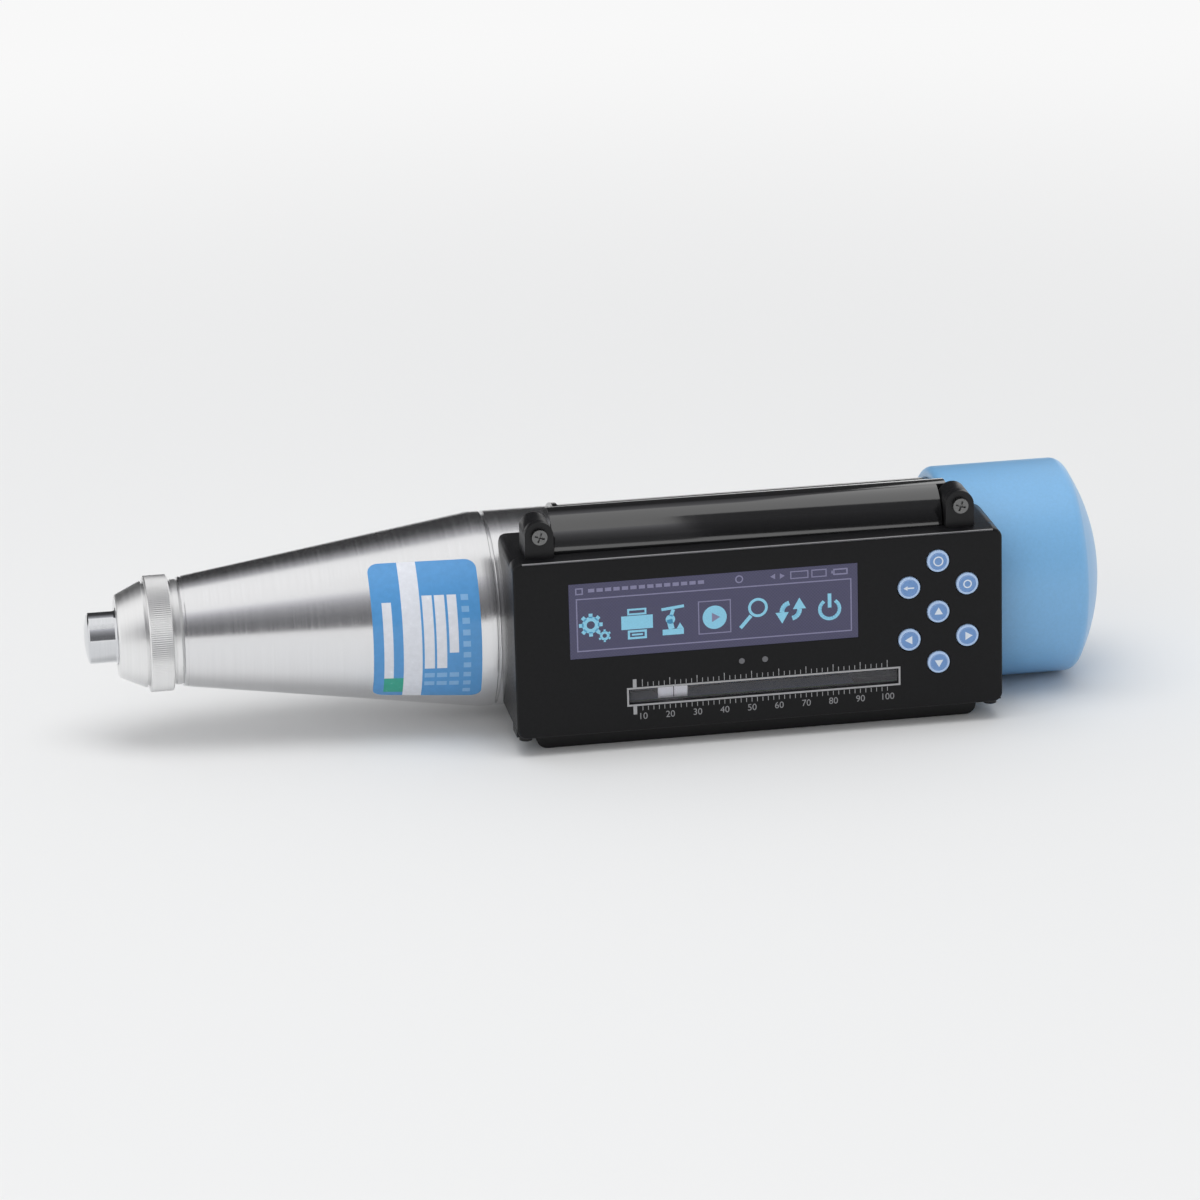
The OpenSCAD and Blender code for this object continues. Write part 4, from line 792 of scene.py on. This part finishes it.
def tick_row(half_width, z0, z1, units):
    """A row of ticks, one every so many units: an array repeats the first."""
    first = SCALE_0 + PER_UNIT * FIRST_MARK
    count = (LAST_MARK - FIRST_MARK) // units + 1
    tick = bar(first - half_width, first + half_width, z0, z1, FACE_Y)
    use_modifier(tick, "ARRAY", count=count, use_relative_offset=False, use_constant_offset=True,
                 constant_offset_displace=(units * PER_UNIT * MM, 0, 0))
    return tick


scale_print = one_piece("scale_print", [
    tick_row(0.08, -12.2, -11.0, units=2), tick_row(0.08, -19.0, -17.8, units=2),
    tick_row(0.1, -11.1, -10.2, units=10), bar(138.25, 213.65, -17.65, -12.35, FACE_Y, line=0.5),
    bar(139.9, 140.9, -20.0, -17.6, FACE_Y), bar(139.9, 140.9, -12.4, -10.0, FACE_Y),
])
settle(scale_print, "casing", print_white)

# %% Numerals
NUMERAL_Z, NUMERAL_SIZE = -20.7, 2.6


def numeral(value):
    """A printed number under its mark on the scale."""
    clear_selection()
    bpy.ops.object.text_add(location=(0, 0, 0))
    made = bpy.context.object
    made.data.body = str(value)
    made.data.size = NUMERAL_SIZE * MM
    made.data.align_x = made.data.align_y = "CENTER"
    made.data.resolution_u = 6
    bpy.ops.object.convert(target="MESH")
    made = bpy.context.object
    made.rotation_euler = (math.pi / 2, 0, 0)
    made.location = ((SCALE_0 + PER_UNIT * value) * MM, FACE_Y * MM, NUMERAL_Z * MM)
    bpy.ops.object.transform_apply(location=True, rotation=True, scale=True)
    return thicken(made)


numerals = [numeral(n) for n in range(FIRST_MARK, LAST_MARK + 1, 10)]
scale_numbers = one_piece("scale_numbers", numerals)
settle(scale_numbers, "casing", print_grey)

# %% [markdown]
# ## The screen
# The display shows a row of plain symbols under a status line. A texture could paint them, but
# thin raised shapes stay sharp at any distance and belong to the mesh. Each symbol is put
# together from bars, discs and rings, as icons are drawn on a grid.

# %% Screen frame and status line
GLASS_Y, ICON_Z, STATUS_Z = -40.9, 5.8, 16.0
DASH_START, DASH_STEP, DASH_LENGTH = 128.4, 2.3, 1.7


def on_screen(name, shapes, finish):
    """Joins shapes on the glass into one piece with its finish."""
    settle(one_piece(name, shapes), "casing", finish)


dashes = [DASH_START + DASH_STEP * i for i in range(14)]
on_screen("screen_frame", [
    bar(125.0, 200.4, -1.1, 13.9, GLASS_Y, line=0.35),
    bar(124.9, 127.0, 15.0, 16.9, GLASS_Y, line=0.35),
    *(bar(x, x + DASH_LENGTH, 15.5, 16.5, GLASS_Y) for x in dashes),
    disc(169.6, STATUS_Z, 1.1, GLASS_Y, line=0.35),
    disc(179.0, STATUS_Z, 0.9, GLASS_Y, 3, -90),
    disc(181.2, STATUS_Z, 0.9, GLASS_Y, 3, 90),
    bar(183.6, 188.6, 14.9, 17.1, GLASS_Y, line=0.3),
    bar(189.4, 193.6, 14.9, 17.1, GLASS_Y, line=0.3),
    bar(195.4, 199.4, 15.1, 16.9, GLASS_Y, line=0.4),
    bar(194.9, 195.5, 15.6, 16.4, GLASS_Y),
], screen_lilac)


# %% Gears and printer
def gear(x, z, radius, teeth):
    """A toothed wheel as a ring with bars round it."""
    ring_r, ring_line, teeth_r = radius * 0.76, radius * 0.40, radius * 0.84
    wide, tall = radius * 0.17, radius * 0.2
    shapes = [disc(x, z, ring_r, GLASS_Y, line=ring_line)]
    for i in range(teeth):
        a = 2 * math.pi * i / teeth
        cx, cz = x + teeth_r * math.sin(a), z + teeth_r * math.cos(a)
        tooth = bar(cx - wide, cx + wide, cz - tall, cz + tall, GLASS_Y, math.degrees(a))
        shapes.append(tooth)
    return shapes


on_screen("icon_gears", gear(128.9, 6.3, 3.1, 8) + gear(132.6, 3.0, 1.7, 6), screen_cyan)
on_screen("icon_printer", [
    bar(138.9, 144.1, 8.2, 10.0, GLASS_Y, line=0.5), bar(137.2, 145.8, 4.2, 8.0, GLASS_Y),
    bar(138.9, 144.1, 1.4, 3.9, GLASS_Y, line=0.6), bar(140.0, 143.0, 2.4, 2.9, GLASS_Y),
], screen_cyan)

# %% Anvil, chosen disc and magnifier
CHOSEN_X = 162.7
on_screen("icon_anvil", [
    bar(148.2, 154.4, 9.0, 9.8, GLASS_Y, -6), bar(150.6, 151.6, 7.0, 9.0, GLASS_Y, 20),
    disc(150.6, 6.2, 1.3, GLASS_Y), bar(149.8, 151.4, 3.4, 6.2, GLASS_Y, -12),
    bar(148.4, 154.2, 1.8, 3.4, GLASS_Y), disc(153.2, 4.0, 1.1, GLASS_Y, 3),
], screen_cyan)
on_screen("chosen_disc", [disc(CHOSEN_X, ICON_Z, 3.3, GLASS_Y, 40)], screen_cyan)
on_screen("chosen_marks", [
    bar(158.2, 167.2, 1.2, 10.6, GLASS_Y, line=0.3),
    disc(CHOSEN_X, ICON_Z, 1.5, GLASS_Y - FILM, 3, 90),
], screen_lilac)
on_screen("icon_magnifier", [
    disc(174.6, 7.6, 2.7, GLASS_Y, 40, line=0.75), bar(170.7, 171.7, 1.6, 6.0, GLASS_Y, 42),
], screen_cyan)

# %% Sync arrows and power sign
OVERLAP = 0.56


def arc_bars(x, z, radius, line, start, end, count):
    """An open ring as short bars between two angles, in degrees clockwise from the top."""
    shapes = []
    step = (end - start) / count
    half = radius * math.radians(step) * OVERLAP
    for i in range(count):
        a = math.radians(start + step * (i + 0.5))
        cx, cz = x + radius * math.sin(a), z + radius * math.cos(a)
        piece = bar(cx - half, cx + half, cz - line / 2, cz + line / 2, GLASS_Y, math.degrees(a))
        shapes.append(piece)
    return shapes


on_screen("icon_sync", [
    *arc_bars(183.6, 5.8, 2.4, 1.3, 268, 350, 6), disc(181.2, 4.6, 2.1, GLASS_Y, 3, 180),
    *arc_bars(183.6, 6.2, 2.4, 1.3, 88, 170, 6), disc(186.0, 7.4, 2.1, GLASS_Y, 3),
], screen_cyan)
on_screen("icon_power", [
    *arc_bars(194.3, 5.6, 2.7, 0.95, 35, 325, 16), bar(193.8, 194.8, 6.0, 10.0, GLASS_Y),
], screen_cyan)

# %% [markdown]
# ## Keys
# Each key is a small turned button: a stem with a flange that keeps it in, a rounded rim and
# a fine ring groove in its face. One key is turned on the lathe and copied to the seven places,
# each copy with its own mesh. The white symbols ride with their keys.

# %% Key buttons
KEY_TOP_Y, KEY_FACE_R = -41.56, 2.3
key_profile = [
    (-36.9, 0), (-36.9, 3.05), (-37.55, 3.05), (-37.55, 3.85), (-38.25, 3.85), (-38.25, 3.05),
    (-41.2, 3.05), (-41.42, 2.98), (-41.53, 2.82), (KEY_TOP_Y, 2.6), (KEY_TOP_Y, 2.42),
    (-41.44, 2.36), (-41.44, 2.22), (KEY_TOP_Y, 2.16), (KEY_TOP_Y, 0),
]
first_key = turn("key_button", key_profile, steps=64, along="Y", centre=(KEY_X, KEY_Z))
for finish in (key_rim_blue, key_face_blue):
    first_key.data.materials.append(finish)
for face in first_key.data.polygons:
    away = math.hypot(face.center.x / MM - KEY_X, face.center.z / MM - KEY_Z)
    face.material_index = int(away < KEY_FACE_R and face.normal.y < -0.5)
for name, (dx, dz) in KEYS.items():
    clear_selection()
    copy = first_key.copy()
    copy.data = first_key.data.copy()
    bpy.context.scene.collection.objects.link(copy)
    copy.name = copy.data.name = name.replace("key", "button")
    copy.location = (dx * MM, 0, dz * MM)
    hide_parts(name)
    settle(copy, name, None, smooth=30)
bpy.data.objects.remove(first_key)
print("keys", len(KEYS))

# %% Key symbols
RINGS_ON_KEYS = {"key_top": 1.4, "key_upper_right": 1.2}
TRIANGLE_TILTS = {"key_middle": 0, "key_lower_left": -90, "key_lower_right": 90, "key_bottom": 180}


def key_symbol(name, x, z):
    """The shapes of a key's symbol: a ring, a triangle or else an arrow to the left."""
    if name in RINGS_ON_KEYS:
        return [disc(x, z, RINGS_ON_KEYS[name], KEY_TOP_Y, 28, line=0.35)]
    if name in TRIANGLE_TILTS:
        return [disc(x, z, 1.35, KEY_TOP_Y, 3, TRIANGLE_TILTS[name])]
    shaft = bar(x - 0.5, x + 1.3, z - 0.2, z + 0.2, KEY_TOP_Y)
    return [shaft, disc(x - 0.9, z, 0.75, KEY_TOP_Y, 3, -90)]


for name, (dx, dz) in KEYS.items():
    shapes = key_symbol(name, KEY_X + dx, KEY_Z + dz)
    sign = one_piece(name.replace("key", "symbol"), shapes)
    settle(sign, name, key_white)

# %% [markdown]
# ## Pointer line
# The rider behind the slot carries a fine line, at which the rebound value is read. The line
# is printed like the scale, but it rides on the pointer's body and moves along the slot with it.

# %% Pointer line
RIDER_FRONT_Y = -38.1
pointer_line = one_piece("pointer_line", [bar(151.38, 151.62, -16.7, -13.3, RIDER_FRONT_Y)])
settle(pointer_line, "pointer", print_dark)

# %% [markdown]
# ## The lock button and the charging socket
# The button on the back holds the plunger in. It is turned, with a broken rim and a dished
# top for the thumb. The socket in the right end is a bent steel shell; what makes it read as
# a socket is the dark core with its tongue, grown out of a block by inset and extrude.

# %% Lock button
LOCK_X = 222.0
lock_profile = [
    (25.4, 0), (25.4, 2.3), (25.6, 2.5), (30.3, 2.5), (30.3, 5.4), (33.7, 5.4), (34.05, 5.25),
    (34.2, 4.9), (34.2, 4.2), (33.95, 3.9), (33.8, 3.2), (33.7, 2.0), (33.68, 0),
]
lock_knob = turn("lock_knob", lock_profile, steps=96, along="Y", centre=(LOCK_X, 0))
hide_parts("lock_button")
settle(lock_knob, "lock_button", turned_aluminium, smooth=24)

# %% Socket core
CORE_END, TONGUE_INSET, TONGUE_LENGTH = 237.6, 0.7, 3.2
socket_core = block("socket_core", (235.8, CORE_END), (-33.45, -31.35), (-18.9, -11.1))
pick(socket_core, lambda co: co.x > (CORE_END - 0.1) * MM)
bpy.ops.mesh.select_mode(type="FACE")
bpy.ops.mesh.inset(thickness=TONGUE_INSET * MM)
bpy.ops.mesh.extrude_region_move(TRANSFORM_OT_translate={"value": (TONGUE_LENGTH * MM, 0, 0)})
bpy.ops.object.mode_set(mode="OBJECT")
use_modifier(socket_core, "BEVEL", width=0.1 * MM, segments=2, limit_method="ANGLE",
             angle_limit=math.radians(28))
settle(socket_core, "casing", module_grey)

# %% [markdown]
# ## The sticker
# A sticker is cut flat and rolled onto the cone. Here too: a flat sheet gets rounded corners,
# is cut into strips and fields with bisect, and is then rolled in code, since a bend tool
# needs a window. Its place for a name and its lettering stay bare, with plain fields.

# %% Flat sticker
LABEL_X0, LABEL_X1, LABEL_HALF, LABEL_CORNER = 72.3, 101.3, 21.3, 3.0
STRIPS = (75.1, 77.6, 80.3, 85.3, 85.9, 88.6, 89.2, 91.9, 92.6, 95.1, 96.3, 98.3)
ROW = 1.6
clear_selection()
bpy.ops.mesh.primitive_plane_add(size=1, location=((LABEL_X0 + LABEL_X1) / 2 * MM, 0, 0))
label_sheet = bpy.context.object
label_sheet.name = label_sheet.data.name = "label_sheet"
label_sheet.scale = ((LABEL_X1 - LABEL_X0) * MM, 2 * LABEL_HALF * MM, 1)
bpy.ops.object.transform_apply(location=True, rotation=True, scale=True)
bpy.ops.object.mode_set(mode="EDIT")
bpy.ops.mesh.select_all(action="SELECT")
bpy.ops.mesh.bevel(offset=LABEL_CORNER * MM, segments=8, affect="VERTICES")
for x in STRIPS:
    bpy.ops.mesh.select_all(action="SELECT")
    bpy.ops.mesh.bisect(plane_co=(x * MM, 0, 0), plane_no=(1, 0, 0))
rows = int(LABEL_HALF / ROW)
for i in range(-rows, rows + 1):
    bpy.ops.mesh.select_all(action="SELECT")
    bpy.ops.mesh.bisect(plane_co=(0, ROW * i * MM, 0), plane_no=(0, 1, 0))
bpy.ops.object.mode_set(mode="OBJECT")
print("sticker", len(label_sheet.data.polygons), "fields")

# %% Fields of the sticker
WHITE, GREEN, PALE = 1, 2, 3
columns = ((85.9, 88.6), (89.2, 91.9), (92.6, 95.1))
fields = {
    WHITE: [(80.3, 85.3, -30, 30), (85.9, 88.6, -9.6, 11.2), (89.2, 91.9, -9.6, 11.2),
            (92.6, 95.1, -4.8, 11.2), (75.1, 77.6, -12.8, 9.6)],
    GREEN: [(75.1, 80.3, -19.2, -12.8)],
    PALE: [(x0, x1, s0, s0 + ROW) for x0, x1 in columns for s0 in (-16.0, -12.8)],
}
for i in range(-6, 4):
    fields[PALE].append((96.3, 98.3, 2 * ROW * i, 2 * ROW * i + ROW))
for finish in (sticker_blue, sticker_white, sticker_green, sticker_pale):
    label_sheet.data.materials.append(finish)
for face in label_sheet.data.polygons:
    x, s = face.center.x / MM, face.center.y / MM
    for index, areas in fields.items():
        if any(x0 < x < x1 and s0 < s < s1 for x0, x1, s0, s1 in areas):
            face.material_index = index
print("printed fields", sum(len(areas) for areas in fields.values()))

# %% Rolled sticker
CONE_END, CONE_END_R, CONE_TIP_R, CONE_LENGTH = 102.3, 26.8, 15.0, 80.5
LABEL_TURN, LABEL_GAP, LABEL_THICK = math.radians(2.7), 0.05, 0.22
slope = (CONE_END_R - CONE_TIP_R) / CONE_LENGTH
for vertex in label_sheet.data.vertices:
    x, s = vertex.co.x / MM, vertex.co.y / MM
    radius = CONE_END_R - (CONE_END - x) * slope + LABEL_GAP
    angle = LABEL_TURN + s / radius
    vertex.co = Vector((x, -radius * math.cos(angle), radius * math.sin(angle))) * MM
use_modifier(label_sheet, "SOLIDIFY", thickness=LABEL_THICK * MM, offset=1)
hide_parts("cone_label")
settle(label_sheet, "casing", None, smooth=30)

# %% [markdown]
# ## Colour management
# The picture is shown as it is computed, without a film look. Dressing must not make the part
# larger.

# %% Finish
bpy.context.scene.view_settings.view_transform = "Standard"
